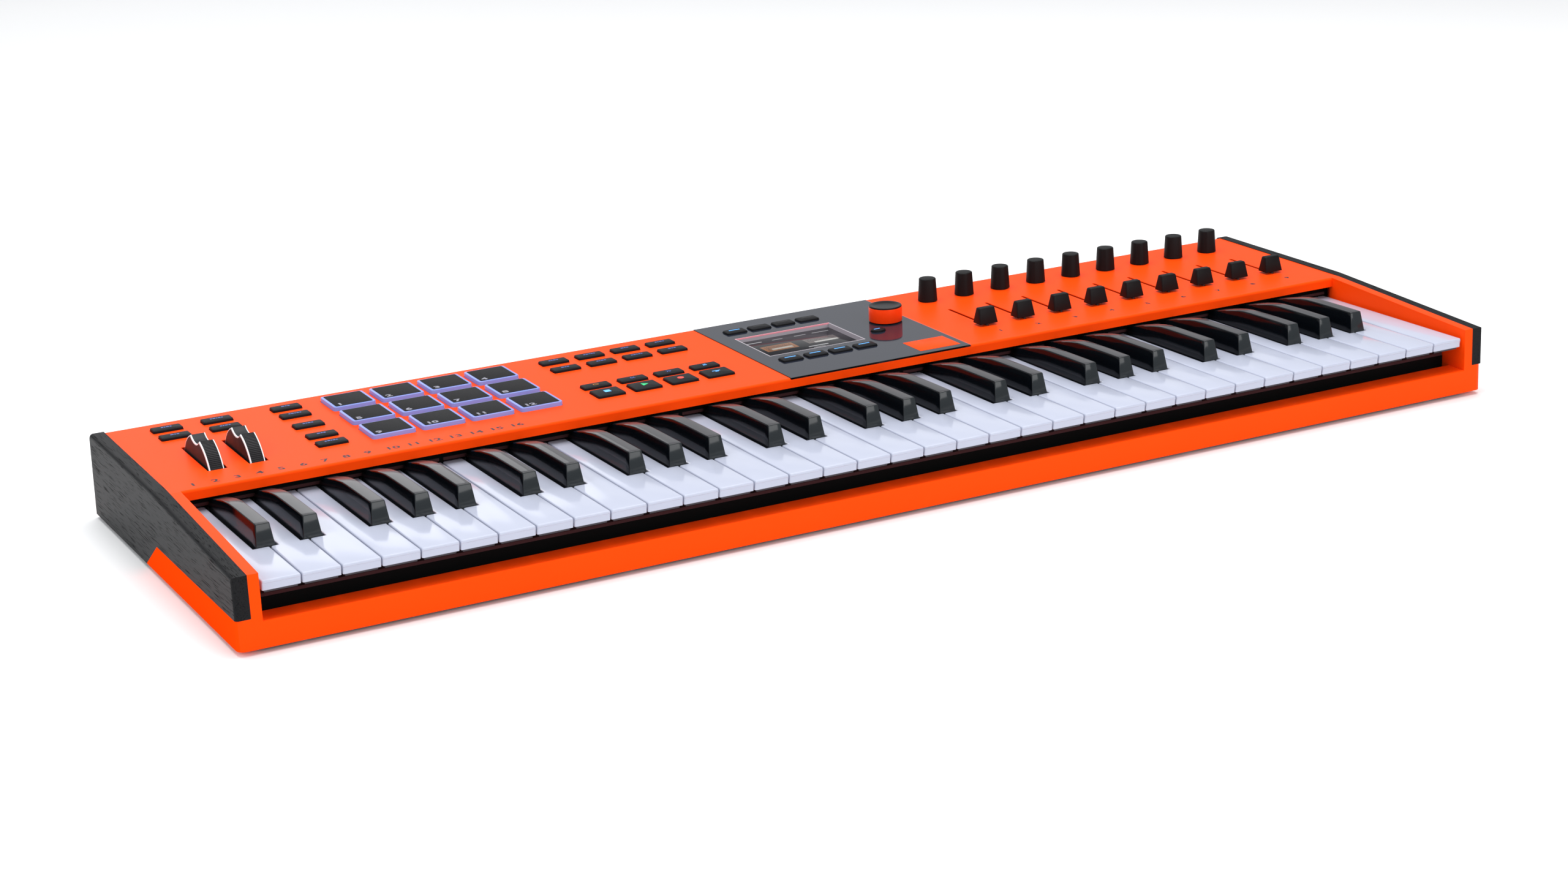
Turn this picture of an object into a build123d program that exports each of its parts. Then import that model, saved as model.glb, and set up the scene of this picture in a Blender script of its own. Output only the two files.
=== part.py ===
"""A 61-key keyboard controller, in millimetres.

+X runs to the player's right, +Y away from the player and +Z up. The origin is
the centre of the footprint, on the surface that the rubber feet stand on.
"""

import math
import os

from build123d import *

# ---------------------------------------------------------------- keys
white_pitch = 23.5
white_count = 36
octave_count = 5
white_gap = 0.9
tail_gap = 1.0
key_margin = 1.5
white_skin = 6.0
white_top_height = 38.3
white_head_length = 55.0
white_length = 148.0
white_pocket_wall = 1.6
white_pocket_depth = 3.6
black_setback = 55.5
black_length = 91.0
black_base_width = 11.7
black_top_width = 8.6
black_height = 13.2
black_front_lean = 2.6
black_tail_drop = 8.6
black_knee_share = 0.62
black_knee_drop = 0.7
black_front_slope = 0.02
black_rear_slope = -0.36
key_setback = 2.0
key_web_spacing = 4.4
key_web_height = 9.0
key_web_overlap = 12.0
pivot_distance = 157.5
pivot_drop = 4.8
pivot_boss_radius = 4.5
pivot_rod_radius = 2.0
key_travel_degrees = 3.4

# ---------------------------------------------------------------- body
body_depth = 296.0
side_wall = 6.5
cheek_thickness = 9.0
cheek_overhang = 10.0
cheek_proud = 0.5
cheek_front_height = 44.0
cheek_rear_lean = 4.4
cheek_edge_radius = 2.4
cheek_bend_radius = 160.0
cheek_round_from = 24.0
wall = 3.0
foot_height = 3.0
foot_radius = 11.0
foot_inset_x = 60.0
foot_inset_y = 38.0
base_thickness = 2.0
base_clearance = 0.3
lip_height = 15.9
lip_depth = 16.0
tray_height = 18.4
tray_length = 152.0
tray_slope_length = 28.0
tray_corner_radius = 5.0
panel_front = 142.5
panel_front_height = 52.35
panel_face_height = 6.4
panel_slope = 0.67
soft_edge = 0.8
panel_edge_radius = 1.6

# ---------------------------------------------------------------- fasteners
screw_radius = 1.5
screw_head_radius = 3.0
screw_head_height = 1.7
screw_length = 12.0
screw_clearance = 0.3
boss_radius = 4.0
boss_bore_clearance = 0.05
front_boss_inset = 8.5
rear_boss_inset = 3.6
front_boss_side_inset = 24.5
rear_boss_side_inset = 13.0
plate_boss_x = 40.0
boss_overlap = 0.5
cheek_screw_length = 9.0
cheek_screw_height = 28.0
cheek_screw_ys = (44.0, 84.0, 122.0)

# ---------------------------------------------------------------- controls
control_clearance = 0.35
button_width = 19.3
button_length = 9.5
button_rise = 1.8
button_flange = 1.1
flange_reach = 1.1
button_travel = 0.8
button_corner = 1.2
seat_gap = 0.3
press_reserve = 0.6
left_button_columns = (27.4, 60.0)
left_button_rows = (127.3, 108.7)
mode_column = 105.8
mode_rows = (127.3, 108.7, 83.3, 58.0, 39.6)
command_first_x = 292.3
command_pitch = 26.3
command_columns = 4
command_rows = (124.8, 105.2)
transport_small_row = 56.7
transport_large_row = 38.2
transport_large_length = 16.0
pad_width = 28.5
pad_length = 28.0
pad_top_width = 24.8
pad_top_length = 25.6
pad_rise = 2.9
pad_rim_rise = 2.7
pad_pitch_x = 33.2
pad_pitch_y = 35.7
pad_first_x = 144.3
pad_first_row = 45.5
pad_columns = 4
pad_rows = 3
pad_travel = 0.5
sheet_thickness = 1.2
board_thickness = 1.6
board_depth = 8.0
board_margin = 12.0
board_gap = 4.0
board_front_row = 28.0
board_rear_gap = 8.6
wheel_radius = 29.0
wheel_width = 9.6
wheel_slot_width = 12.4
wheel_slot_margin = 2.9
wheel_axis_depth = 14.5
wheel_row = 57.2
wheel_columns = (30.1, 55.9)
wheel_notch_radius = 13.6
wheel_notch_height = 38.0
wheel_axle_radius = 3.0
wheel_edge_radius = 0.8
running_clearance = 0.05
bracket_plate = 2.5
bracket_foot = 3.0
bracket_wall = 3.0
bracket_head = 6.0
bracket_half_length = 11.0
wheel_side_gap = 0.9
knob_count = 9
knob_pitch = 30.35
knob_last_from_right = 24.2
knob_row = 116.8
knob_base_radius = 6.95
knob_top_radius = 6.0
knob_height = 16.1
knob_float = 0.6
knob_shaft_radius = 3.0
knob_edge_radius = 0.9
sensor_width = 12.0
sensor_bush_radius = 4.5
sensor_bore_depth = 4.0
bush_clearance = 0.1
shaft_engagement = 3.5
fader_row = 39.0
fader_travel = 45.0
fader_slot_width = 2.4
fader_slot_margin = 4.0
fader_stem_width = 1.4
fader_stem_length = 5.0
fader_stem_depth = 7.0
fader_cap_width = 14.6
fader_cap_length = 10.0
fader_cap_top_width = 12.0
fader_cap_top_length = 5.6
fader_cap_height = 11.0
fader_float = 1.5
track_width = 8.0
track_height = 7.5
track_end = 9.0
track_floor = 2.0

# ---------------------------------------------------------------- centre plate
plate_width = 137.5
plate_offset = 51.75
plate_thickness = 1.2
plate_proud = 0.35
plate_gap = 0.2
screen_width = 73.6
screen_length = 51.8
screen_x = 32.2
screen_row = 79.1
screen_depth = 2.7
screen_thickness = 4.6
screen_side_gap = 0.3
soft_button_width = 15.2
soft_button_length = 9.0
soft_button_first_x = 3.9
soft_button_pitch = 18.8
soft_button_count = 4
soft_button_rows = (120.9, 39.0)
back_button_width = 10.5
back_button_length = 8.0
back_button_x = 86.5
back_button_row = 66.5
encoder_x = 103.5
encoder_row = 85.8
encoder_radius = 11.6
encoder_height = 10.8
encoder_dish = 0.8
encoder_dish_taper = 30
encoder_rim_width = 2.0
encoder_travel = 0.5
encoder_shaft_radius = 3.0
encoder_shaft_top = 8.0
encoder_engagement = 3.4

# ---------------------------------------------------------------- keybed
frame_sheet = 2.5
frame_front = 19.5
white_rail_depth = 15.0
black_rail_front = 56.0
black_rail_depth = 17.0
contact_shelf_end = 120.0
contact_shelf_height = 20.0
contact_board_front = 86.0
contact_board_depth = 30.0
contact_strip_base = 1.2
contact_dome_radius = 3.8
contact_dome_height = 3.4
contact_dome_taper = 18
contact_strip_end = 2.0
contact_strip_edge = 4.0
felt_thickness = 2.0
felt_inset = 0.5
rib_thickness = 2.8
rib_front = 149.0
rib_end = 164.0
bar_depth = 5.0
bar_height = 4.4
frame_end_gap = 1.0

# ---------------------------------------------------------------- rear sockets
jack_count = 4
jack_pitch = 22.0
jack_first_x = -180.0
jack_bore_radius = 3.3
jack_bore_length = 16.0
jack_ferrule_radius = 5.5
jack_body = 14.0
jack_depth = 22.0
socket_proud = 1.5
socket_hole_clearance = 0.2
din_pitch = 28.0
din_first_x = -78.0
din_count = 2
din_bore_radius = 7.6
din_bore_length = 8.0
din_outer_radius = 9.4
din_depth = 14.0
usb_x = -22.0
usb_width = 9.2
usb_height = 3.6
usb_shell = 0.8
usb_depth = 9.0
usb_tongue = 1.0
usb_tongue_inset = 1.3
usb_back = 1.5
main_board_height = 11.4
main_board_rear_gap = 2.0
main_board_length = 62.0
main_board_left = -215.0
main_board_right = 20.0
standoff_radius = 3.0
standoff_side_inset = 8.0
standoff_rear_inset = 14.0
standoff_spread = 42.0
chip_height = 2.2
large_chip = (60.0, -12.0, 20.0, 20.0)
small_chips = ((110.0, -14.0, 16.0, 10.0), (150.0, -14.0, 16.0, 10.0))

# ---------------------------------------------------------------- derived values
key_field = white_pitch * white_count
opening_half = key_field / 2 + key_margin
case_half = opening_half + side_wall
body_width = 2 * (case_half + cheek_thickness)
key_left = -key_field / 2
front_y = -body_depth / 2
case_rear_y = body_depth / 2 - cheek_overhang
key_front_y = front_y + key_setback
base_z = foot_height
base_top = base_z + base_thickness
white_top_z = base_z + white_top_height
white_bottom_z = white_top_z - white_skin
pivot_y = key_front_y + pivot_distance
pivot_z = white_top_z - pivot_drop
rod_end = case_half - wall
panel_front_y = front_y + panel_front
panel_front_z = base_z + panel_front_height
slope = math.radians(panel_slope)
panel_normal = (0.0, -math.sin(slope), math.cos(slope))
panel_length = (case_rear_y - panel_front_y) / math.cos(slope)
edge_rise = panel_edge_radius * math.tan(slope)
button_opening = (button_width + 2 * control_clearance, button_length + 2 * control_clearance)
large_opening = (button_width + 2 * control_clearance, transport_large_length + 2 * control_clearance)
soft_opening = (soft_button_width + 2 * control_clearance, soft_button_length + 2 * control_clearance)
pad_opening = (pad_width + 2 * control_clearance, pad_length + 2 * control_clearance)
back_opening = (back_button_width / 2 + control_clearance, back_button_length / 2 + control_clearance)
panel_rear_z = panel_front_z + (case_rear_y - panel_front_y) * math.tan(slope)
panel = Plane(origin=(0, panel_front_y, panel_front_z), x_dir=(1, 0, 0), z_dir=panel_normal)
lip_top_z = base_z + lip_height
tray_top_z = base_z + tray_height
cheek_bend_y = front_y + tray_length
inner_half = case_half - wall
octave_width = 7 * white_pitch
key_web_width = 4 * white_pitch / 7 - key_web_spacing
button_stem = board_depth - button_travel - press_reserve
pad_stem = board_depth - sheet_thickness - pad_travel - seat_gap
encoder_float = plate_proud + encoder_travel + control_clearance
wheel_slot_length = 2 * math.sqrt(wheel_radius**2 - wheel_axis_depth**2) + 2 * wheel_slot_margin
knob_xs = [key_left + key_field - knob_last_from_right - knob_pitch * i for i in range(knob_count)][::-1]
wheel_xs = [key_left + column for column in wheel_columns]
slot_front = fader_row - fader_slot_margin
slot_length = fader_travel + 2 * fader_slot_margin
plate_left = plate_offset - plate_width / 2
socket_z = base_z + main_board_height + board_thickness
jack_z = socket_z + jack_body / 2
din_z = socket_z + din_outer_radius
usb_z = socket_z + usb_height / 2 + usb_shell
jack_xs = [jack_first_x + jack_pitch * i for i in range(jack_count)]
din_xs = [din_first_x + din_pitch * i for i in range(din_count)]
front_boss_xs = [i * (opening_half - front_boss_side_inset) / 2 for i in range(-2, 3)]
rear_boss_xs = [
    rear_boss_side_inset - inner_half,
    key_left + (mode_column + pad_first_x) / 2,
    plate_boss_x,
    (knob_xs[2] + knob_xs[3]) / 2,
    inner_half - rear_boss_side_inset,
]
half_sheet = frame_sheet / 2
turn = math.radians(key_travel_degrees)
diagonal = math.sqrt(0.5)

notes = ["c", "c_sharp", "d", "d_sharp", "e", "f", "f_sharp", "g", "g_sharp", "a", "a_sharp", "b"]
white_index = {"c": 0, "d": 1, "e": 2, "f": 3, "g": 4, "a": 5, "b": 6}


def semitone_left(step):
    """The left edge of a semitone's slot behind the white heads, from its octave's left edge."""
    if step < 5:
        return step * 3 * white_pitch / 5
    return 3 * white_pitch + (step - 5) * 4 * white_pitch / 7


def on_panel(x, row):
    """A point on the control panel's surface, row millimetres up the slope from its front edge."""
    return (x, panel_front_y + row * math.cos(slope), panel_front_z + row * math.sin(slope))


def left_cluster():
    """Octave, transpose and mode buttons, as panel places."""
    places = [(key_left + x, row) for x in left_button_columns for row in left_button_rows]
    return places + [(key_left + mode_column, row) for row in mode_rows]


def command_places():
    """Two rows of command buttons."""
    xs = [key_left + command_first_x + command_pitch * i for i in range(command_columns)]
    return [(x, row) for x in xs for row in command_rows]


def transport_places(row):
    """One row of transport buttons."""
    return [(key_left + command_first_x + command_pitch * i, row) for i in range(command_columns)]


def soft_button_places():
    """The buttons above and below the screen."""
    xs = [soft_button_first_x + soft_button_pitch * i for i in range(soft_button_count)]
    return [(x, row) for x in xs for row in soft_button_rows]


def pad_places(row):
    """One row of drum pads."""
    xs = [key_left + pad_first_x + pad_pitch_x * i for i in range(pad_columns)]
    return [(x, pad_first_row + pad_pitch_y * row) for x in xs]


def save(piece, name):
    """Labels a finished piece and writes it."""
    piece.label = name
    export_step(piece, "parts/" + name + ".step")
    return piece


# ================================================================ case
def make_upper_case():
    """The moulded top shell: panel, side walls, front lip, rear wall and the tray ledges."""
    with BuildPart() as shell:
        with BuildSketch(Plane.YZ):
            with BuildLine():
                Polyline(
                    (front_y, base_z),
                    (front_y, base_z + cheek_front_height),
                    (panel_front_y, panel_front_z),
                    (case_rear_y, panel_rear_z),
                    (case_rear_y, base_z),
                    close=True,
                )
            make_face()
        extrude(amount=case_half, both=True)
        with BuildSketch(Plane.YZ):
            with BuildLine():
                Polyline(
                    (front_y, base_z),
                    (front_y, tray_top_z),
                    (cheek_bend_y, tray_top_z),
                    (cheek_bend_y + tray_slope_length, base_z),
                    close=True,
                )
            make_face()
        extrude(amount=body_width / 2, both=True)
        corners = shell.edges().filter_by(Axis.Z).group_by(Axis.Y)[0]
        fillet([e for e in corners if abs(e.center().X) > case_half + 1], tray_corner_radius)
        # The key opening is open to the front and the top, with rounded edges at the lip and the panel.
        with BuildSketch(Plane.YZ):
            with BuildLine():
                Line((front_y - 1, panel_rear_z), (front_y - 1, lip_top_z - soft_edge))
                Line((front_y - 1, lip_top_z - soft_edge), (front_y, lip_top_z - soft_edge))
                ThreePointArc(
                    (front_y, lip_top_z - soft_edge),
                    (front_y + soft_edge * (1 - diagonal), lip_top_z - soft_edge * (1 - diagonal)),
                    (front_y + soft_edge, lip_top_z),
                )
                Line((front_y + soft_edge, lip_top_z), (panel_front_y, lip_top_z))
                Line((panel_front_y, lip_top_z), (panel_front_y, panel_front_z - panel_edge_radius))
                ThreePointArc(
                    (panel_front_y, panel_front_z - panel_edge_radius),
                    (
                        panel_front_y + panel_edge_radius * (1 - diagonal),
                        panel_front_z - panel_edge_radius * (1 - diagonal),
                    ),
                    (panel_front_y + panel_edge_radius, panel_front_z + edge_rise),
                )
                Line(
                    (panel_front_y + panel_edge_radius, panel_front_z + edge_rise),
                    (panel_front_y + panel_edge_radius, panel_rear_z),
                )
                Line((panel_front_y + panel_edge_radius, panel_rear_z), (front_y - 1, panel_rear_z))
            make_face()
        extrude(amount=opening_half, both=True, mode=Mode.SUBTRACT)
        # The hollow below the panel and behind its front face.
        with BuildSketch(Plane.YZ):
            with BuildLine():
                Polyline(
                    (panel_front_y + wall, base_top),
                    (panel_front_y + wall, panel_front_z - wall),
                    (case_rear_y - wall, panel_rear_z - wall),
                    (case_rear_y - wall, base_top),
                    close=True,
                )
            make_face()
        extrude(amount=inner_half, both=True, mode=Mode.SUBTRACT)
        # The way through below the panel's front face, for the key tails.
        with BuildSketch(Plane.XY.offset(base_top)):
            with Locations((0, (front_y + lip_depth + panel_front_y + wall + 1) / 2)):
                Rectangle(2 * opening_half, panel_front_y + wall + 1 - front_y - lip_depth)
        extrude(amount=panel_front_z - panel_face_height - base_top, mode=Mode.SUBTRACT)
        # The hollow under the front lip.
        with BuildSketch(Plane.XY.offset(base_top)):
            with Locations((0, front_y + (wall + lip_depth + 1) / 2)):
                Rectangle(2 * opening_half, lip_depth + 1 - wall)
        extrude(amount=lip_height - base_thickness - wall, mode=Mode.SUBTRACT)
        # The rebate that the base plate drops into.
        with BuildSketch(Plane.XY.offset(base_z - 1)):
            with Locations((0, (front_y + case_rear_y) / 2)):
                Rectangle(2 * inner_half, case_rear_y - front_y - 2 * wall)
        extrude(amount=1 + base_thickness, mode=Mode.SUBTRACT)
        # Every opening in the panel.
        with BuildSketch(panel):
            with Locations(*left_cluster(), *command_places(), *transport_places(transport_small_row)):
                RectangleRounded(*button_opening, button_corner)
            with Locations(*transport_places(transport_large_row)):
                RectangleRounded(*large_opening, button_corner)
            for row in range(pad_rows):
                with Locations(*pad_places(row)):
                    RectangleRounded(*pad_opening, 2 * button_corner)
            with Locations(*[(x, wheel_row) for x in wheel_xs]):
                Rectangle(wheel_slot_width, wheel_slot_length)
            with Locations(*[(x, knob_row) for x in knob_xs]):
                Circle(sensor_bush_radius + bush_clearance)
            with Locations(*[(x, slot_front + slot_length / 2) for x in knob_xs]):
                SlotOverall(slot_length, fader_slot_width, rotation=90)
            with Locations((encoder_x, encoder_row)):
                Circle(sensor_bush_radius + bush_clearance)
            with Locations((screen_x, screen_row)):
                Rectangle(screen_width, screen_length)
            with Locations(*soft_button_places()):
                RectangleRounded(*soft_opening, button_corner)
            with Locations((back_button_x, back_button_row)):
                Ellipse(*back_opening)
        extrude(amount=-1.5 * wall, mode=Mode.SUBTRACT)
        # The shallow seat of the centre plate.
        with BuildSketch(panel.offset(1)):
            with Locations((plate_offset, panel_length / 2)):
                Rectangle(plate_width + 2 * plate_gap, panel_length + 4)
        extrude(amount=-(1 + plate_thickness - plate_proud), mode=Mode.SUBTRACT)
        # Holes for the rear sockets.
        with BuildSketch(Plane.XZ.offset(-case_rear_y - 1)):
            with Locations(*[(x, jack_z) for x in jack_xs]):
                Circle(jack_ferrule_radius + socket_hole_clearance)
            with Locations(*[(x, din_z) for x in din_xs]):
                Circle(din_outer_radius + socket_hole_clearance)
            with Locations((usb_x, usb_z)):
                SlotOverall(
                    usb_width + 2 * usb_shell + 2 * socket_hole_clearance,
                    usb_height + 2 * usb_shell + 2 * socket_hole_clearance,
                )
        extrude(amount=wall + 2, mode=Mode.SUBTRACT)
        # Screw bosses under the lip and along the rear wall.
        with BuildSketch(Plane.XY.offset(base_top)):
            with Locations(*[(x, front_y + front_boss_inset) for x in front_boss_xs]):
                Circle(boss_radius)
        extrude(amount=lip_height - base_thickness - wall)
        with BuildSketch(Plane.XY.offset(base_top)):
            with Locations(*[(x, case_rear_y - wall - rear_boss_inset) for x in rear_boss_xs]):
                Circle(boss_radius)
                with Locations((0, rear_boss_inset / 2)):
                    Rectangle(2 * boss_radius, rear_boss_inset)
        extrude(amount=panel_front_z - wall - base_top + boss_overlap)
        with BuildSketch(Plane.XY.offset(base_top - 1)):
            with Locations(*boss_places()):
                Circle(screw_radius + boss_bore_clearance)
        extrude(amount=1 + screw_length - base_thickness + 1, mode=Mode.SUBTRACT)
        # Holes for the screws that hold the cheeks.
        for side_sign in (-1, 1):
            with BuildSketch(Plane.YZ.offset(side_sign * (inner_half - 1))):
                with Locations(*[(y, cheek_screw_height) for y in cheek_screw_ys]):
                    Circle(screw_radius + boss_bore_clearance)
            extrude(amount=side_sign * (wall + 2), mode=Mode.SUBTRACT)
    return save(shell.part, "upper_case")


def boss_places():
    """Where the base screws stand."""
    front = [(x, front_y + front_boss_inset) for x in front_boss_xs]
    rear = [(x, case_rear_y - wall - rear_boss_inset) for x in rear_boss_xs]
    return front + rear


def standoff_places():
    """Four posts under the main board."""
    xs = (main_board_left + standoff_side_inset, main_board_right - standoff_side_inset)
    rear = case_rear_y - wall - standoff_rear_inset
    return [(x, y) for x in xs for y in (rear, rear - standoff_spread)]


def make_base_plate():
    """The flat steel cover that closes the case from below, with pressed-in standoffs."""
    with BuildPart() as base:
        with BuildSketch(Plane.XY.offset(base_z)):
            with Locations((0, (front_y + case_rear_y) / 2)):
                Rectangle(
                    2 * (inner_half - base_clearance), case_rear_y - front_y - 2 * (wall + base_clearance)
                )
        extrude(amount=base_thickness)
        with BuildSketch(Plane.XY.offset(base_top)):
            with Locations(*standoff_places()):
                Circle(standoff_radius)
        extrude(amount=main_board_height - base_thickness)
        with BuildSketch(Plane.XY.offset(base_z - 1)):
            with Locations(*boss_places()):
                Circle(screw_radius + screw_clearance)
        extrude(amount=base_thickness + 2, mode=Mode.SUBTRACT)
    return save(base.part, "base_plate")


def make_cheek(side_sign, name):
    """A black open-pore wood side cheek with a notch that clears the case's tray."""
    top_rear = panel_rear_z + cheek_proud
    bend_z = panel_front_z + cheek_proud
    with BuildPart() as cheek:
        with BuildSketch(Plane.YZ.offset(side_sign * case_half)) as outline:
            with BuildLine():
                Polyline(
                    (front_y, tray_top_z),
                    (front_y, base_z + cheek_front_height),
                    (cheek_bend_y, bend_z),
                    (body_depth / 2 - cheek_rear_lean, top_rear),
                    (body_depth / 2, base_z),
                    (cheek_bend_y + tray_slope_length, base_z),
                    (cheek_bend_y, tray_top_z),
                    close=True,
                )
            make_face()
            fillet(outline.vertices().sort_by_distance((cheek_bend_y, bend_z))[0], cheek_bend_radius)
            rear_top = outline.vertices().sort_by_distance((body_depth / 2 - cheek_rear_lean, top_rear))[0]
            fillet(rear_top, 2 * cheek_edge_radius)
        extrude(amount=side_sign * cheek_thickness)
        outer = cheek.faces().sort_by(Axis.X)[-1 if side_sign > 0 else 0]
        upper = [e for e in outer.edges() if e.center().Z > base_z + cheek_round_from]
        front = [e for e in outer.edges() if e.center().Y < front_y + 1 and e not in upper]
        fillet(upper + front, cheek_edge_radius)
        with BuildSketch(Plane.YZ.offset(side_sign * (case_half - 1))):
            with Locations(*[(y, cheek_screw_height) for y in cheek_screw_ys]):
                Circle(screw_radius + boss_bore_clearance)
        extrude(amount=side_sign * (cheek_screw_length - wall + 2), mode=Mode.SUBTRACT)
    return save(cheek.part, name)


def make_rubber_feet():
    """Four round rubber feet under the corners of the base plate."""
    half_x = inner_half - foot_inset_x
    half_y = (case_rear_y - front_y) / 2 - foot_inset_y
    with BuildPart() as feet:
        with BuildSketch(Plane.XY):
            with Locations((0, (front_y + case_rear_y) / 2)):
                with GridLocations(2 * half_x, 2 * half_y, 2, 2):
                    Circle(foot_radius)
        extrude(amount=foot_height)
        fillet(feet.faces().filter_by(Axis.Z).group_by(Axis.Z)[0].edges(), soft_edge)
    return save(feet.part, "rubber_feet")


def make_case_screws():
    """The pan-head screws of the base plate and of the cheeks."""
    with BuildPart() as screws:
        with BuildSketch(Plane.XY.offset(base_z - screw_head_height)):
            with Locations(*boss_places()):
                Circle(screw_head_radius)
        extrude(amount=screw_head_height)
        with BuildSketch(Plane.XY.offset(base_z)):
            with Locations(*boss_places()):
                Circle(screw_radius)
        extrude(amount=screw_length)
        for side_sign in (-1, 1):
            head_plane = Plane.YZ.offset(side_sign * inner_half)
            with BuildSketch(head_plane):
                with Locations(*[(y, cheek_screw_height) for y in cheek_screw_ys]):
                    Circle(screw_head_radius)
            extrude(amount=-side_sign * screw_head_height)
            with BuildSketch(head_plane):
                with Locations(*[(y, cheek_screw_height) for y in cheek_screw_ys]):
                    Circle(screw_radius)
            extrude(amount=side_sign * cheek_screw_length)
    return save(screws.part, "case_screws")


# ================================================================ centre plate
def make_centre_panel():
    """The glossy slate plate round the screen and the main knob."""
    with BuildPart() as plate:
        with BuildSketch(panel.offset(plate_proud)):
            with Locations((plate_offset, panel_length / 2)):
                Rectangle(plate_width, panel_length)
            with Locations((screen_x, screen_row)):
                Rectangle(screen_width, screen_length, mode=Mode.SUBTRACT)
            with Locations(*soft_button_places()):
                RectangleRounded(*soft_opening, button_corner, mode=Mode.SUBTRACT)
            with Locations((back_button_x, back_button_row)):
                Ellipse(*back_opening, mode=Mode.SUBTRACT)
            with Locations((encoder_x, encoder_row)):
                Circle(sensor_bush_radius + bush_clearance, mode=Mode.SUBTRACT)
        extrude(amount=-plate_thickness)
    return save(plate.part, "centre_panel")


def make_display_module():
    """The small colour screen, recessed behind the centre plate's window."""
    with BuildPart() as display:
        with BuildSketch(panel.offset(-screen_depth)):
            with Locations((screen_x, screen_row)):
                Rectangle(screen_width - 2 * screen_side_gap, screen_length - 2 * screen_side_gap)
        extrude(amount=-screen_thickness)
    return save(display.part, "display_module")


# ================================================================ keys
def make_tail(x):
    """The web and pivot boss that carry a key back to the rod."""
    web_start = key_front_y + white_length - key_web_overlap
    with BuildPart() as tail:
        with BuildSketch(Plane.YZ.offset(x - key_web_width / 2)):
            with Locations((pivot_y, pivot_z)):
                Circle(pivot_boss_radius)
            with Locations(((web_start + pivot_y) / 2, pivot_z)):
                Rectangle(pivot_y - web_start, key_web_height)
            with Locations((pivot_y, pivot_z)):
                Circle(pivot_rod_radius + running_clearance, mode=Mode.SUBTRACT)
        extrude(amount=key_web_width)
    return tail.part


def make_white_key(note, full_tail=False):
    """One white key with its left boundary at X = 0 of its own octave."""
    step = notes.index(note)
    left = white_index[note] * white_pitch
    right = left + white_pitch
    tail_left = max(semitone_left(step) + tail_gap / 2, left + white_gap / 2)
    tail_right = min(semitone_left(step + 1) - tail_gap / 2, right - white_gap / 2)
    if full_tail:
        tail_right = right - white_gap / 2
    tail = make_tail((semitone_left(step) + semitone_left(step + 1)) / 2)
    head_rear = key_front_y + white_head_length
    slab_rear = key_front_y + white_length
    with BuildPart() as key:
        with BuildSketch(Plane.XY.offset(white_bottom_z)):
            with Locations(((left + right) / 2, (key_front_y + head_rear) / 2)):
                Rectangle(white_pitch - white_gap, white_head_length)
            with Locations(((tail_left + tail_right) / 2, (head_rear - 1 + slab_rear) / 2)):
                Rectangle(tail_right - tail_left, slab_rear - head_rear + 1)
        extrude(amount=white_skin)
        front = key.edges().filter_by(Axis.X).group_by(Axis.Y)[0].sort_by(Axis.Z)[-1]
        fillet(front, soft_edge)
        with BuildSketch(Plane.XY.offset(white_bottom_z - 1)):
            with Locations(((left + right) / 2, (key_front_y + head_rear) / 2)):
                Rectangle(
                    white_pitch - white_gap - 2 * white_pocket_wall,
                    white_head_length - 2 * white_pocket_wall,
                )
        extrude(amount=1 + white_pocket_depth, mode=Mode.SUBTRACT)
        add(tail)
    return key.part


def make_black_key(note):
    """One black key: tapered sides, a leaning front and a top that falls away to the rear."""
    step = notes.index(note)
    centre = (semitone_left(step) + semitone_left(step + 1)) / 2
    tail = make_tail(centre)
    base_y = key_front_y + black_setback
    rear_y = base_y + black_length
    top_z = white_top_z + black_height
    foot_z = white_bottom_z
    with BuildPart() as key:
        with BuildSketch(Plane.XZ.offset(-base_y)):
            with BuildLine():
                Polyline(
                    (centre - black_base_width / 2, foot_z),
                    (centre + black_base_width / 2, foot_z),
                    (centre + black_base_width / 2, white_top_z),
                    (centre + black_top_width / 2, top_z + 1),
                    (centre - black_top_width / 2, top_z + 1),
                    (centre - black_base_width / 2, white_top_z),
                    close=True,
                )
            make_face()
        extrude(amount=-black_length)
        with BuildSketch(Plane.YZ.offset(centre)):
            with BuildLine():
                Line((base_y, foot_z), (base_y, white_top_z))
                Line((base_y, white_top_z), (base_y + black_front_lean, top_z))
                Spline(
                    (base_y + black_front_lean, top_z),
                    (base_y + black_length * black_knee_share, top_z - black_knee_drop),
                    (rear_y, top_z - black_tail_drop),
                    tangents=((1, black_front_slope), (1, black_rear_slope)),
                )
                Line((rear_y, top_z - black_tail_drop), (rear_y, foot_z))
                Line((rear_y, foot_z), (base_y, foot_z))
            make_face()
        extrude(amount=black_base_width, both=True, mode=Mode.INTERSECT)
        add(tail)
    return key.part


def make_keys():
    """Twelve nodes, one for each note name, holding that note's keys an octave apart."""
    for note in notes:
        if note in white_index:
            single = make_white_key(note)
        else:
            single = make_black_key(note)
        octaves = [(key_left + octave_width * i, 0, 0) for i in range(octave_count)]
        with BuildPart() as group:
            with Locations(*octaves):
                add(single)
        if note == "c":
            last = make_white_key("c", full_tail=True)
            with BuildPart() as group:
                with Locations(*octaves):
                    add(single)
                with Locations((key_left + octave_width * octave_count, 0, 0)):
                    add(last)
        save(group.part, "key_" + note)


# ================================================================ keybed
def rib_places():
    """Ribs outside the last keys and, in each octave gap, midway between the webs of B and C."""
    shift = (semitone_left(1) + semitone_left(11) - octave_width) / 4
    inner = [key_left + octave_width * i + shift for i in range(1, octave_count + 1)]
    outer = rod_end - rib_thickness / 2 - frame_end_gap
    return [-outer] + inner + [outer]


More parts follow.
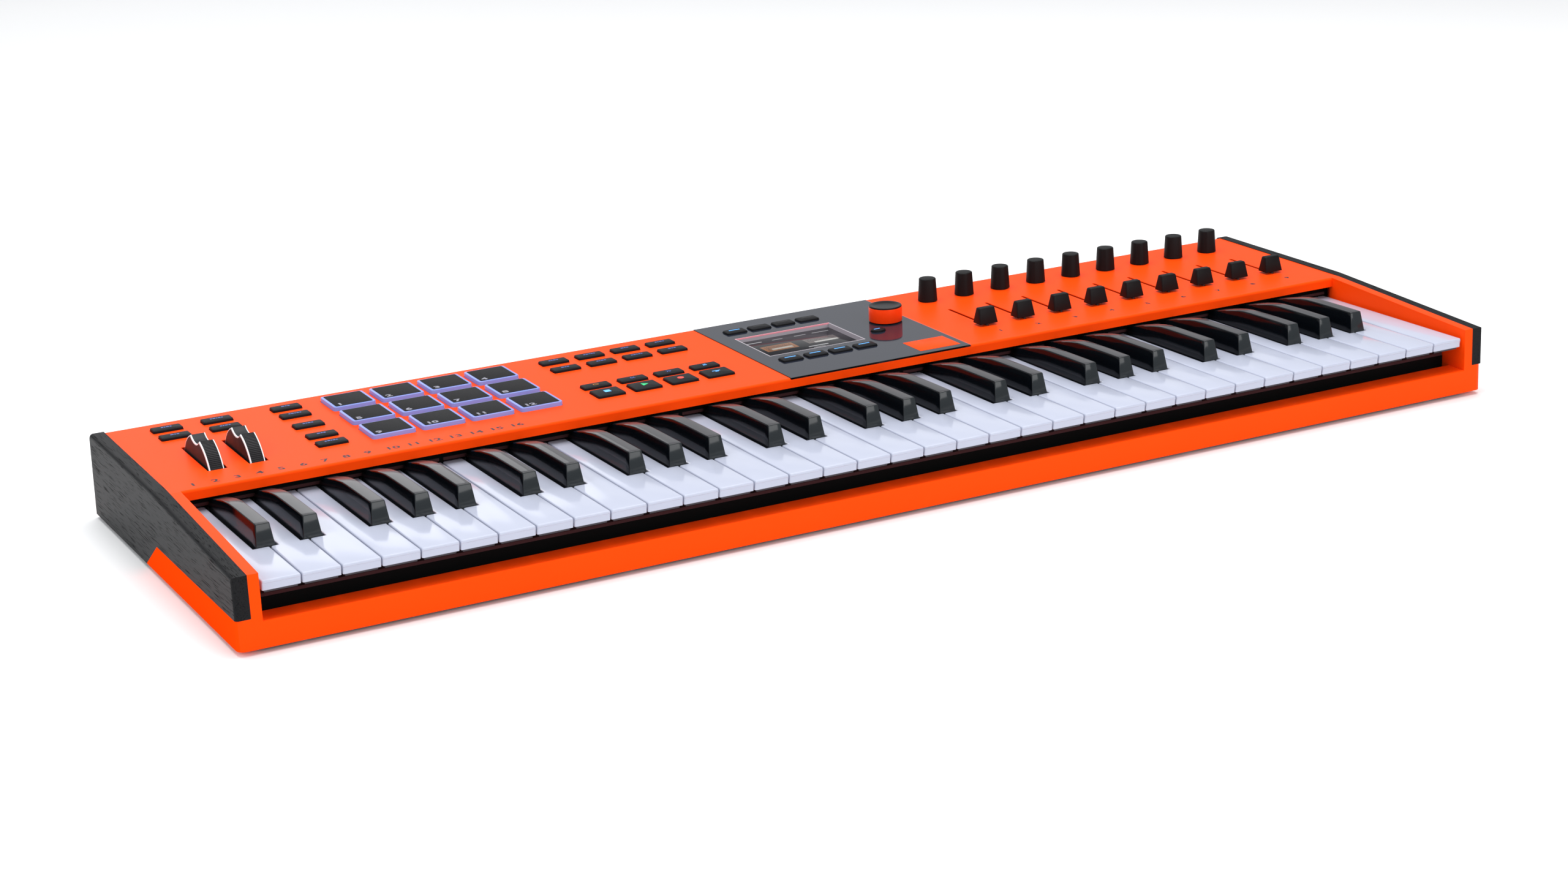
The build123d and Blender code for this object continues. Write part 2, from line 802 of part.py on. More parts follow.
def rail_tops():
    """Heights of the two rails that carry the lower felts, just under a fully pressed key."""
    front_arm = pivot_y - key_front_y - frame_front - white_rail_depth / 2
    rear_arm = pivot_y - key_front_y - black_rail_front - black_rail_depth / 2
    front_dip = (front_arm + white_rail_depth / 2) * math.sin(turn)
    rear_dip = (rear_arm + black_rail_depth / 2) * math.sin(turn)
    front_top = white_bottom_z - front_dip - seat_gap - felt_thickness
    rear_top = white_bottom_z - rear_dip - seat_gap - felt_thickness
    return front_top, rear_top


def make_keybed_frame():
    """A folded steel chassis with two stop rails, a contact shelf, pivot ribs and a rear bar."""
    front_top, rear_top = rail_tops()
    floor_z = base_top + half_sheet
    shelf_z = base_z + contact_shelf_height
    y0 = key_front_y + frame_front + half_sheet
    y1 = key_front_y + frame_front + white_rail_depth - half_sheet
    y2 = key_front_y + black_rail_front + half_sheet
    y3 = key_front_y + black_rail_front + black_rail_depth
    y4 = key_front_y + contact_shelf_end
    y5 = key_front_y + rib_end
    half = opening_half - frame_end_gap
    bar_z = white_top_z + seat_gap + felt_thickness
    rib_top = bar_z + bar_height
    with BuildPart() as frame:
        with BuildSketch(Plane.YZ):
            with BuildLine():
                Polyline(
                    (y0, floor_z),
                    (y0, front_top - half_sheet),
                    (y1, front_top - half_sheet),
                    (y1, floor_z),
                    (y2, floor_z),
                    (y2, rear_top - half_sheet),
                    (y3, rear_top - half_sheet),
                    (y3, shelf_z),
                    (y4, shelf_z),
                    (y4, floor_z),
                    (y5, floor_z),
                )
            trace(line_width=frame_sheet)
        extrude(amount=half, both=True)
        with BuildSketch(Plane.YZ):
            with Locations((key_front_y + rib_front + bar_depth / 2, bar_z + bar_height / 2)):
                Rectangle(bar_depth, bar_height)
        extrude(amount=rod_end - frame_end_gap, both=True)
        for x in rib_places():
            with BuildSketch(Plane.YZ.offset(x - rib_thickness / 2)):
                with Locations((key_front_y + (rib_front + rib_end) / 2, (base_top + rib_top) / 2)):
                    Rectangle(rib_end - rib_front, rib_top - base_top)
                with Locations((pivot_y, pivot_z)):
                    Circle(pivot_rod_radius + running_clearance, mode=Mode.SUBTRACT)
            extrude(amount=rib_thickness)
    return save(frame.part, "keybed_frame")


def make_key_pivot_rod():
    """The steel rod that all the keys turn on."""
    with BuildPart() as rod:
        with BuildSketch(Plane.YZ.offset(-rod_end + frame_end_gap)):
            with Locations((pivot_y, pivot_z)):
                Circle(pivot_rod_radius)
        extrude(amount=2 * (rod_end - frame_end_gap))
    return save(rod.part, "key_pivot_rod")


def make_key_stop_felts():
    """Felt strips: two that catch the pressed keys and one above the tails."""
    front_top, rear_top = rail_tops()
    half = opening_half - frame_end_gap
    rails = [
        (key_front_y + frame_front + white_rail_depth / 2, front_top, white_rail_depth),
        (key_front_y + black_rail_front + black_rail_depth / 2, rear_top, black_rail_depth),
    ]
    with BuildPart() as felts:
        for y, z, depth in rails:
            with BuildSketch(Plane.XY.offset(z)):
                with Locations((0, y)):
                    Rectangle(2 * half, depth - 2 * felt_inset)
            extrude(amount=felt_thickness)
        xs = rib_places()
        for left, right in zip(xs, xs[1:]):
            with BuildSketch(Plane.XY.offset(white_top_z + seat_gap)):
                with Locations(((left + right) / 2, key_front_y + rib_front + bar_depth / 2)):
                    Rectangle(right - left - rib_thickness, bar_depth)
            extrude(amount=felt_thickness)
    return save(felts.part, "key_stop_felts")


def make_key_contact_board():
    """The long board under the keys, with its rubber strip of contact domes."""
    shelf_top = base_z + contact_shelf_height + half_sheet
    centre_y = key_front_y + contact_board_front + contact_board_depth / 2
    half = opening_half - 2 * frame_end_gap
    middles = [(semitone_left(step) + semitone_left(step + 1)) / 2 for step in range(12)]
    steps = [octave_width * i + middle for i in range(octave_count) for middle in middles]
    steps.append(octave_width * octave_count + middles[0])
    with BuildPart() as board:
        with BuildSketch(Plane.XY.offset(shelf_top)):
            with Locations((0, centre_y)):
                Rectangle(2 * half, contact_board_depth)
        extrude(amount=board_thickness)
    with BuildPart() as strip:
        with BuildSketch(Plane.XY.offset(shelf_top + board_thickness)):
            with Locations((0, centre_y)):
                Rectangle(2 * (half - contact_strip_end), contact_board_depth - 2 * contact_strip_edge)
        extrude(amount=contact_strip_base)
        with BuildSketch(Plane.XY.offset(shelf_top + board_thickness + contact_strip_base)):
            with Locations(*[(key_left + x, centre_y) for x in steps]):
                Circle(contact_dome_radius)
        extrude(amount=contact_dome_height, taper=contact_dome_taper)
    both = Compound(children=[board.part.solid(), strip.part.solid()])
    return save(both, "key_contact_board")


# ================================================================ wheels
def make_wheel(x, name):
    """A wheel with a smooth finger notch, on its axle."""
    centre_z = on_panel(0, wheel_row)[2] - wheel_axis_depth
    centre_y = on_panel(0, wheel_row)[1]
    with BuildPart() as wheel:
        with BuildSketch(Plane.YZ.offset(x - wheel_width / 2)):
            with Locations((centre_y, centre_z)):
                Circle(wheel_radius)
                Circle(wheel_axle_radius + running_clearance, mode=Mode.SUBTRACT)
            with Locations((centre_y, centre_z + wheel_notch_height)):
                Circle(wheel_notch_radius, mode=Mode.SUBTRACT)
        extrude(amount=wheel_width)
        rims = [f.outer_wire().edges() for f in wheel.faces().filter_by(Axis.X)]
        fillet([e for rim in rims for e in rim], wheel_edge_radius)
    return save(wheel.part, name)


def make_wheel_bracket():
    """The bracket that holds the wheels' axle, and the axle itself."""
    centre_z = on_panel(0, wheel_row)[2] - wheel_axis_depth
    centre_y = on_panel(0, wheel_row)[1]
    middle = (wheel_xs[0] + wheel_xs[1]) / 2
    spread = wheel_xs[1] - wheel_xs[0]
    reach = wheel_width / 2 + wheel_side_gap + bracket_plate / 2
    uprights = [wheel_xs[0] - reach, middle, wheel_xs[1] + reach]
    with BuildPart() as bracket:
        with BuildSketch(Plane.XY.offset(base_top)):
            with Locations((middle, centre_y)):
                Rectangle(spread + 2 * reach + bracket_plate, 2 * bracket_half_length)
            with Locations(*[(x, centre_y) for x in wheel_xs]):
                Rectangle(wheel_slot_width, 2 * bracket_half_length - 2 * bracket_plate, mode=Mode.SUBTRACT)
        extrude(amount=bracket_foot)
        for x in uprights:
            with BuildSketch(Plane.YZ.offset(x - bracket_plate / 2)):
                with BuildLine():
                    Polyline(
                        (centre_y - bracket_half_length, base_top),
                        (centre_y - wheel_axle_radius - bracket_wall, centre_z + bracket_head),
                        (centre_y + wheel_axle_radius + bracket_wall, centre_z + bracket_head),
                        (centre_y + bracket_half_length, base_top),
                        close=True,
                    )
                make_face()
            extrude(amount=bracket_plate)
        with BuildSketch(Plane.YZ.offset(uprights[0] - bracket_plate)):
            with Locations((centre_y, centre_z)):
                Circle(wheel_axle_radius + running_clearance)
        extrude(amount=spread + 2 * reach + 2 * bracket_plate, mode=Mode.SUBTRACT)
    with BuildPart() as axle:
        with BuildSketch(Plane.YZ.offset(uprights[0] - bracket_plate)):
            with Locations((centre_y, centre_z)):
                Circle(wheel_axle_radius)
        extrude(amount=spread + 2 * reach + 2 * bracket_plate)
    both = Compound(children=[bracket.part.solid(), axle.part.solid()])
    return save(both, "wheel_bracket")


# ================================================================ panel controls
def make_caps(places, width, length):
    """Button caps, each with a retaining flange and a plunger."""
    flange_z = -wall - seat_gap
    with BuildPart() as caps:
        with BuildSketch(panel.offset(flange_z - button_flange)):
            with Locations(*places):
                RectangleRounded(width, length, button_corner)
        extrude(amount=button_rise - flange_z + button_flange)
        with BuildSketch(panel.offset(flange_z)):
            with Locations(*places):
                RectangleRounded(width + 2 * flange_reach, length + 2 * flange_reach, button_corner)
        extrude(amount=-button_flange)
        with BuildSketch(panel.offset(-button_stem)):
            with Locations(*places):
                Rectangle(width / 2, length / 2)
        extrude(amount=button_stem + flange_z)
    return caps.part


def make_buttons():
    """The button groups, each with its own press travel."""
    save(make_caps(left_cluster(), button_width, button_length), "buttons_left")
    save(make_caps(command_places(), button_width, button_length), "buttons_command")
    small = make_caps(transport_places(transport_small_row), button_width, button_length)
    large = make_caps(transport_places(transport_large_row), button_width, transport_large_length)
    with BuildPart() as transport:
        add(small)
        add(large)
    save(transport.part, "buttons_transport")
    soft = make_caps(soft_button_places(), soft_button_width, soft_button_length)
    with BuildPart() as screen:
        add(soft)
        with BuildSketch(panel.offset(button_rise)):
            with Locations((back_button_x, back_button_row)):
                Ellipse(back_button_width / 2, back_button_length / 2)
        extrude(amount=-button_rise - button_stem)
        with BuildSketch(panel.offset(-wall - seat_gap)):
            with Locations((back_button_x, back_button_row)):
                Ellipse(back_button_width / 2 + flange_reach, back_button_length / 2 + flange_reach)
        extrude(amount=-button_flange)
    save(screen.part, "buttons_screen")


def make_pads():
    """Three rows of drum pads with a low translucent rim and a raised top."""
    for row in range(pad_rows):
        with BuildPart() as pads:
            with BuildSketch(panel.offset(-pad_stem)):
                with Locations(*pad_places(row)):
                    RectangleRounded(pad_width, pad_length, 2 * button_corner)
            extrude(amount=pad_stem + pad_rim_rise)
            with BuildSketch(panel.offset(pad_rim_rise)):
                with Locations(*pad_places(row)):
                    RectangleRounded(pad_top_width, pad_top_length, 2 * button_corner)
            extrude(amount=pad_rise - pad_rim_rise)
        save(pads.part, "pads_row_" + str(row + 1))


def make_pad_sensor_sheet():
    """The pressure sheet that the pads stand on, above the board."""
    width = pad_pitch_x * (pad_columns - 1) + pad_width
    length = pad_pitch_y * (pad_rows - 1) + pad_length
    middle_x = key_left + pad_first_x + pad_pitch_x * (pad_columns - 1) / 2
    middle_row = pad_first_row + pad_pitch_y * (pad_rows - 1) / 2
    with BuildPart() as sheet:
        with BuildSketch(panel.offset(-board_depth)):
            with Locations((middle_x, middle_row)):
                Rectangle(width, length)
        extrude(amount=sheet_thickness)
    return save(sheet.part, "pad_sensor_sheet")


def make_control_boards():
    """Circuit boards below the panel: left controls, centre controls and right controls."""
    rear = panel_length - wall - board_rear_gap
    left_start = key_left + left_button_columns[0] - board_margin
    left_of_modes = key_left + mode_column - board_margin
    left_end = key_left + command_first_x + command_pitch * (command_columns - 1) + board_margin
    centre_end = plate_left + plate_width - board_gap
    wheel_end = wheel_row + wheel_slot_length / 2 + board_gap
    solids = []
    with BuildPart() as left:
        with BuildSketch(panel.offset(-board_depth)):
            with Locations(((left_start + left_end) / 2, (wheel_end + rear) / 2)):
                Rectangle(left_end - left_start, rear - wheel_end)
            with Locations(((left_of_modes + left_end) / 2, (board_front_row + rear) / 2)):
                Rectangle(left_end - left_of_modes, rear - board_front_row)
        extrude(amount=-board_thickness)
    solids.append(left.part.solid())
    with BuildPart() as centre:
        with BuildSketch(panel.offset(-board_depth)):
            with Locations(((left_end + board_gap + centre_end) / 2, (board_front_row + rear) / 2)):
                Rectangle(centre_end - left_end - board_gap, rear - board_front_row)
        extrude(amount=-board_thickness)
    solids.append(centre.part.solid())
    right_start = knob_xs[0] - board_margin
    right_end = knob_xs[-1] + board_margin
    right_depth = wall + seat_gap + track_height
    with BuildPart() as right:
        with BuildSketch(panel.offset(-right_depth)):
            with Locations(((right_start + right_end) / 2, (board_front_row + rear) / 2)):
                Rectangle(right_end - right_start, rear - board_front_row)
        extrude(amount=-board_thickness)
    solids.append(right.part.solid())
    return save(Compound(children=solids), "control_boards")


def make_rotary_sensors():
    """Nine knob encoders and the larger push encoder of the main knob, with their bushes."""
    right_depth = wall + seat_gap + track_height
    body_top = -wall - seat_gap
    with BuildPart() as sensors:
        with BuildSketch(panel.offset(-right_depth)):
            with Locations(*[(x, knob_row) for x in knob_xs]):
                Rectangle(sensor_width, sensor_width)
        extrude(amount=right_depth + body_top)
        with BuildSketch(panel.offset(-board_depth)):
            with Locations((encoder_x, encoder_row)):
                Rectangle(sensor_width, sensor_width)
        extrude(amount=board_depth + body_top)
        with BuildSketch(panel.offset(body_top)):
            with Locations(*[(x, knob_row) for x in knob_xs], (encoder_x, encoder_row)):
                Circle(sensor_bush_radius)
        extrude(amount=wall + seat_gap - plate_proud)
        with BuildSketch(panel.offset(body_top - sensor_bore_depth)):
            with Locations(*[(x, knob_row) for x in knob_xs], (encoder_x, encoder_row)):
                Circle(knob_shaft_radius + running_clearance)
        extrude(amount=wall + seat_gap + 2 * sensor_bore_depth, mode=Mode.SUBTRACT)
    return save(sensors.part, "rotary_sensors")


def make_knob(x, name):
    """A rotary knob: a slim cone with a flat pointer facet, and its shaft."""
    with BuildPart() as knob:
        with BuildSketch(panel.offset(knob_float)):
            with Locations((x, knob_row)):
                Circle(knob_base_radius)
        with BuildSketch(panel.offset(knob_float + knob_height)):
            with Locations((x, knob_row)):
                Circle(knob_top_radius)
        loft()
        top = knob.edges().filter_by(GeomType.CIRCLE).sort_by(Axis.Z)[-1]
        fillet(top, knob_edge_radius)
        with BuildSketch(panel.offset(-wall - seat_gap - shaft_engagement)):
            with Locations((x, knob_row)):
                Circle(knob_shaft_radius)
        extrude(amount=wall + seat_gap + shaft_engagement + knob_float)
    return save(knob.part, name)


def make_encoder():
    """The main knob and the stem that it turns on and that its push switch is worked by."""
    stem_bottom = -wall - seat_gap - encoder_engagement
    with BuildPart() as stem:
        with BuildSketch(panel.offset(stem_bottom)):
            with Locations((encoder_x, encoder_row)):
                Circle(encoder_shaft_radius)
        extrude(amount=encoder_shaft_top - stem_bottom)
    save(stem.part, "encoder_stem")
    with BuildPart() as knob:
        with BuildSketch(panel.offset(encoder_float)):
            with Locations((encoder_x, encoder_row)):
                Circle(encoder_radius)
        extrude(amount=encoder_height)
        top = knob.edges().filter_by(GeomType.CIRCLE).sort_by(Axis.Z)[-1]
        fillet(top, soft_edge)
        with BuildSketch(panel.offset(encoder_float + encoder_height)):
            with Locations((encoder_x, encoder_row)):
                Circle(encoder_radius - encoder_rim_width)
        extrude(amount=-encoder_dish, taper=encoder_dish_taper, mode=Mode.SUBTRACT)
        with BuildSketch(panel.offset(encoder_float)):
            with Locations((encoder_x, encoder_row)):
                Circle(encoder_shaft_radius + running_clearance)
        extrude(amount=encoder_shaft_top - encoder_float + seat_gap, mode=Mode.SUBTRACT)
    save(knob.part, "encoder_knob")


def make_fader(x, name):
    """A slide cap with sloping sides on a thin blade."""
    with BuildPart() as fader:
        with BuildSketch(panel.offset(fader_float)):
            with Locations((x, fader_row)):
                Rectangle(fader_cap_width, fader_cap_length)
        with BuildSketch(panel.offset(fader_float + fader_cap_height)):
            with Locations((x, fader_row)):
                Rectangle(fader_cap_top_width, fader_cap_top_length)
        loft()
        fillet(fader.faces().sort_by(Axis.Z)[-1].edges(), soft_edge)
        with BuildSketch(panel.offset(-fader_stem_depth)):
            with Locations((x, fader_row)):
                Rectangle(fader_stem_width, fader_stem_length)
        extrude(amount=fader_stem_depth + fader_float)
    return save(fader.part, name)


def make_fader_tracks():
    """Nine slide potentiometers below the panel, open along the top for the blades."""
    with BuildPart() as tracks:
        with BuildSketch(panel.offset(-wall - seat_gap)):
            with Locations(*[(x, slot_front + slot_length / 2) for x in knob_xs]):
                Rectangle(track_width, slot_length + track_end)
        extrude(amount=-track_height)
        with BuildSketch(panel.offset(-wall - seat_gap + 1)):
            with Locations(*[(x, slot_front + slot_length / 2) for x in knob_xs]):
                Rectangle(fader_slot_width, slot_length)
        extrude(amount=track_floor - track_height - 1, mode=Mode.SUBTRACT)
    return save(tracks.part, "fader_tracks")


# ================================================================ rear electronics
def make_main_board():
    """The main circuit board on its standoffs, with its larger chips."""
    top = socket_z
    rear = case_rear_y - wall - main_board_rear_gap
    centre_y = rear - main_board_length / 2
    width = main_board_right - main_board_left
    with BuildPart() as board:
        with BuildSketch(Plane.XY.offset(top - board_thickness)):
            with Locations(((main_board_left + main_board_right) / 2, centre_y)):
                Rectangle(width, main_board_length)
        extrude(amount=board_thickness)
        for x, y, chip_width, chip_length in (large_chip, *small_chips):
            with BuildSketch(Plane.XY.offset(top)):
                with Locations((main_board_left + x, centre_y + y)):
                    Rectangle(chip_width, chip_length)
            extrude(amount=chip_height)
    return save(board.part, "main_board")


def make_rear_sockets():
    """Four 6.35 mm jack sockets, two round five-pin sockets and one flat data socket."""
    outer_y = case_rear_y + socket_proud
    inner_y = case_rear_y - wall - seat_gap
    with BuildPart() as sockets:
        with BuildSketch(Plane.XZ.offset(-inner_y)):
            with Locations(*[(x, jack_z) for x in jack_xs]):
                Rectangle(jack_body, jack_body)
        extrude(amount=jack_depth)
        with BuildSketch(Plane.XZ.offset(-inner_y)):
            with Locations(*[(x, jack_z) for x in jack_xs]):
                Circle(jack_ferrule_radius)
        extrude(amount=-(outer_y - inner_y))
        with BuildSketch(Plane.XZ.offset(-inner_y)):
            with Locations(*[(x, din_z) for x in din_xs]):
                Circle(din_outer_radius)
        extrude(amount=din_depth)
        with BuildSketch(Plane.XZ.offset(-inner_y)):
            with Locations(*[(x, din_z) for x in din_xs]):
                Circle(din_outer_radius)
        extrude(amount=-(case_rear_y - inner_y))
        with BuildSketch(Plane.XZ.offset(-case_rear_y)):
            with Locations((usb_x, usb_z)):
                SlotOverall(usb_width + 2 * usb_shell, usb_height + 2 * usb_shell)
        extrude(amount=usb_depth)
        with BuildSketch(Plane.XZ.offset(-outer_y)):
            with Locations(*[(x, jack_z) for x in jack_xs]):
                Circle(jack_bore_radius)
        extrude(amount=jack_bore_length, mode=Mode.SUBTRACT)
        with BuildSketch(Plane.XZ.offset(-case_rear_y)):
            with Locations(*[(x, din_z) for x in din_xs]):
                Circle(din_bore_radius)
        extrude(amount=din_bore_length, mode=Mode.SUBTRACT)
        with BuildSketch(Plane.XZ.offset(-case_rear_y)):
            with Locations((usb_x, usb_z)):
                SlotOverall(usb_width, usb_height)
        extrude(amount=usb_depth - usb_back, mode=Mode.SUBTRACT)
        with BuildSketch(Plane.XZ.offset(usb_depth - case_rear_y)):
            with Locations((usb_x, usb_z)):
                Rectangle(usb_width - 2 * usb_tongue_inset, usb_tongue)
        extrude(amount=usb_tongue_inset - usb_depth)
    return save(sockets.part, "rear_sockets")


os.makedirs("parts", exist_ok=True)
make_upper_case()
make_base_plate()
make_cheek(-1, "left_cheek")
make_cheek(1, "right_cheek")
make_rubber_feet()
make_case_screws()
make_centre_panel()
make_display_module()
make_keys()
make_keybed_frame()
make_key_pivot_rod()
make_key_stop_felts()
make_key_contact_board()
make_wheel(wheel_xs[0], "pitch_wheel")
make_wheel(wheel_xs[1], "mod_wheel")
make_wheel_bracket()
make_buttons()
make_pads()
make_pad_sensor_sheet()
make_control_boards()
make_rotary_sensors()
for number, knob_x in enumerate(knob_xs, start=1):
    make_knob(knob_x, "knob_" + str(number))
    make_fader(knob_x, "fader_" + str(number))
make_encoder()
make_fader_tracks()
make_main_board()
make_rear_sockets()
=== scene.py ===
# %% [markdown]
# # A 61-key keyboard controller
#
# The keyboard is an orange moulded case between two black wood cheeks, with white and black
# keys, drum pads, rubber buttons, nine knobs, nine faders, two wheels, a screen and one large
# knob. The measured parts arrive as the frame, and each step below either gives one of them a
# finish or models the visible piece that stands for it. The keyboard's sizes are in millimetres
# and are turned to metres where a helper hands them to Blender; the lamps and the camera stand
# in metres.

import math

import bpy
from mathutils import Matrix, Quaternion, Vector


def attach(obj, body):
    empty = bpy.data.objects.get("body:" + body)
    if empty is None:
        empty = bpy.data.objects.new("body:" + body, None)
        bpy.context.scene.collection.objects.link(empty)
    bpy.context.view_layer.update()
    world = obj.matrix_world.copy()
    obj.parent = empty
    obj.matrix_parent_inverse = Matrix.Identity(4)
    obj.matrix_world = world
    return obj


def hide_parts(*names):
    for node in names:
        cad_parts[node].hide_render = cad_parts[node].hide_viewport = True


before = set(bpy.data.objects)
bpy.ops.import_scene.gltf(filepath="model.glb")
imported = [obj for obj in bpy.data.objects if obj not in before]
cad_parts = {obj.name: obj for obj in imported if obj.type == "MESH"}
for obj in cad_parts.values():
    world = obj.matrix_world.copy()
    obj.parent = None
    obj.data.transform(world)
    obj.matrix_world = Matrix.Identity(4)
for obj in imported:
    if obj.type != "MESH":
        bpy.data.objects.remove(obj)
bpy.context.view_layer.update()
MM = 0.001
panel_slope = math.radians(0.67)
panel_front = (0.0, -5.5, 55.35)
bpy.ops.object.select_all(action="DESELECT")

# %% [markdown]
# ## Camera, floor and light
#
# The keyboard is looked at from the front left, from a little above, with a long lens that
# keeps the far end large. A wide pale floor and a bright plain sky act as a studio sweep, and
# large soft boxes give the broad pale reflections that gloss keys need.

# %% Camera
camera_place = Vector((-0.8433, -1.5929, 0.5619))
view_line = Vector((0.4384, 0.8496, -0.2932))
camera_tilt = Quaternion((0, 0, 1), math.radians(-2.51))
camera_turn = view_line.to_track_quat("-Z", "Y") @ camera_tilt
bpy.ops.object.camera_add(location=camera_place, rotation=camera_turn.to_euler())
camera = bpy.context.object
camera.data.sensor_width = 36
camera.data.lens = 65.6
bpy.context.scene.camera = camera
print("camera", [round(v, 3) for v in camera.location])

# %% Floor and sky
floor_size = 30
bpy.ops.mesh.primitive_plane_add(size=floor_size, location=(0, 0, 0))
floor = bpy.context.object
floor.name = "studio_floor"
world = bpy.data.worlds.new("studio_sky")
bpy.context.scene.world = world
world.use_nodes = True
sky = world.node_tree.nodes["Background"]
sky.inputs["Color"].default_value = (0.95, 0.97, 1.0, 1)
sky.inputs["Strength"].default_value = 0.5
bpy.context.scene.view_settings.view_transform = "Standard"


# %% Soft boxes
def soft_box(name, place, aim, width, height, watts, colour=(1, 1, 1)):
    """A large rectangular lamp that faces the point aim, in metres."""
    turn = (Vector(aim) - Vector(place)).to_track_quat("-Z", "Y").to_euler()
    bpy.ops.object.light_add(type="AREA", location=place, rotation=turn)
    lamp = bpy.context.object
    lamp.name = name
    lamp.data.shape = "RECTANGLE"
    lamp.data.size = width
    lamp.data.size_y = height
    lamp.data.energy = watts
    lamp.data.color = colour
    return lamp


soft_box("overhead_box", (0.1, 0.3, 2.2), (0, 0, 0), 2.6, 1.8, 62)
soft_box("left_box", (-2.2, -0.6, 1.3), (0, 0, 0), 1.6, 1.2, 17, (0.94, 0.97, 1))
soft_box("front_box", (0.4, -2.6, 1.1), (0, 0, 0), 2.4, 1.0, 34)
soft_box("rear_box", (0.1, 2.9, 1.0), (-0.2, 0, 0), 1.7, 1.0, 6.2)
soft_box("rear_right_box", (1.75, 2.9, 1.0), (0.1, 0, 0), 1.3, 0.9, 1.0)

# %% [markdown]
# ## Shader maths
#
# A procedural finish is a small formula over the point on the piece. Wrapping a socket in a
# class that knows plus, minus, times and so on lets the formula be written as ordinary Python,
# and one method makes any other node that is needed.


# %% A socket that does arithmetic
class Signal:
    """One output socket of a material's nodes."""

    def __init__(self, tree, socket):
        self.tree = tree
        self.socket = socket

    def node(self, kind, settings=None, values=None, output=0):
        """Makes a node: its settings first, then the values or links of its sockets."""
        made = self.tree.nodes.new(kind)
        for name, setting in (settings or {}).items():
            setattr(made, name, setting)
        for name, value in (values or {}).items():
            if isinstance(value, Signal):
                self.tree.links.new(value.socket, made.inputs[name])
            else:
                made.inputs[name].default_value = value
        return Signal(self.tree, made.outputs[output])

    def math(self, operation, first, second=0.0):
        return self.node("ShaderNodeMath", {"operation": operation}, {0: first, 1: second})

    def __add__(self, other):
        return self.math("ADD", self, other)

    def __radd__(self, other):
        return self.math("ADD", other, self)

    def __sub__(self, other):
        return self.math("SUBTRACT", self, other)

    def __rsub__(self, other):
        return self.math("SUBTRACT", other, self)

    def __mul__(self, other):
        return self.math("MULTIPLY", self, other)

    def __rmul__(self, other):
        return self.math("MULTIPLY", other, self)

    def __truediv__(self, other):
        return self.math("DIVIDE", self, other)

    def __gt__(self, other):
        return self.math("GREATER_THAN", self, other)

    def __lt__(self, other):
        return self.math("LESS_THAN", self, other)

    def __abs__(self):
        return self.math("ABSOLUTE", self)

    def clamp(self, low, high):
        return self.math("MINIMUM", self.math("MAXIMUM", self, low), high)


def mix(factor, low, high):
    """A colour between two others."""
    values = {0: factor, 6: low, 7: high}
    return factor.node("ShaderNodeMix", {"data_type": "RGBA"}, values, output=2)


def inside(x, y, left, front, width, length):
    """One inside a rectangle in the millimetre coordinates x and y, zero outside."""
    return (x > left) * (x < left + width) * (y > front) * (y < front + length)


# %% Starting a material
class Finish:
    """A material with its main shader and the piece's own coordinates ready to use."""

    def __init__(self, name, colour, roughness, **constants):
        self.material = bpy.data.materials.new(name)
        self.material.use_nodes = True
        self.tree = self.material.node_tree
        self.shader = self.tree.nodes["Principled BSDF"]
        self.set("Base Color", (*colour, 1))
        self.set("Roughness", roughness)
        for socket, value in constants.items():
            self.set(socket.replace("_", " "), value)
        source = self.tree.nodes.new("ShaderNodeTexCoord")
        self.place = Signal(self.tree, source.outputs["Object"])
        parts = self.tree.nodes.new("ShaderNodeSeparateXYZ")
        self.tree.links.new(self.place.socket, parts.inputs[0])
        self.x, self.y, self.z = [Signal(self.tree, out) / MM for out in parts.outputs]
        self.material.diffuse_color = (*colour, 1)

    def set(self, socket, value):
        """A constant or a signal into one socket of the shader."""
        if isinstance(value, Signal):
            self.tree.links.new(value.socket, self.shader.inputs[socket])
        else:
            self.shader.inputs[socket].default_value = value

    def noise(self, scale, detail=2.0, stretch=(1, 1, 1), roughness=0.5):
        """Smooth noise from 0 to 1, scale in cells per metre."""
        place = self.place.node("ShaderNodeMapping", None, {"Vector": self.place, "Scale": stretch})
        values = {"Vector": place, "Scale": scale, "Detail": detail, "Roughness": roughness}
        return self.place.node("ShaderNodeTexNoise", None, values)

    def bump(self, height, strength, depth):
        """Relief whose full height is depth millimetres."""
        values = {"Height": height, "Strength": strength, "Distance": depth * MM}
        self.set("Normal", self.place.node("ShaderNodeBump", None, values))


print("shader helpers ready")

# %% [markdown]
# ## Case and metal finishes
#
# The case is moulded plastic under satin paint: even colour, a very fine orange-peel relief
# and a roughness that wanders slightly. The walls inside its openings see little light, so their
# colour is painted a deeper red as painted shade, which outlines the slots, and the outer side
# walls are flat, without any sheen. The steel and plastic parts below the panel only need plain
# finishes of their own.

# %% Satin orange
warm_sheen = {"Specular_IOR_Level": 0.08, "Specular_Tint": (1, 0.4, 0.2, 1)}
orange = Finish("orange_shell", (1.0, 0.062, 0.0025), 0.42, **warm_sheen)
grain = orange.noise(2600, 2.0)
drift = orange.noise(9, 2.0)
orange.set("Roughness", 0.38 + 0.05 * drift + 0.05 * grain)
paint_colour = mix(drift, (0.97, 0.059, 0.0022, 1), (1.0, 0.065, 0.0028, 1))
opening_front, opening_rear, opening_half = -3.5, 134, 422
surface_z = panel_front[2] + (orange.y - panel_front[1]) * math.tan(panel_slope)
within = (orange.y > opening_front) * (orange.y < opening_rear) * (abs(orange.x) < opening_half)
# Painted shade: faces more than half a millimetre below the panel surface inside the openings take a deep
# red.
painted_recess_shade = (surface_z - orange.z > 0.5) * within
orange.set("Base Color", mix(painted_recess_shade, paint_colour, (0.3, 0.006, 0.002, 1)))
orange.bump(grain, 0.12, 0.02)
flat_values = {"Base Color": (1.0, 0.06, 0.002, 1), "Roughness": 0.6, "Specular IOR Level": 0.0}
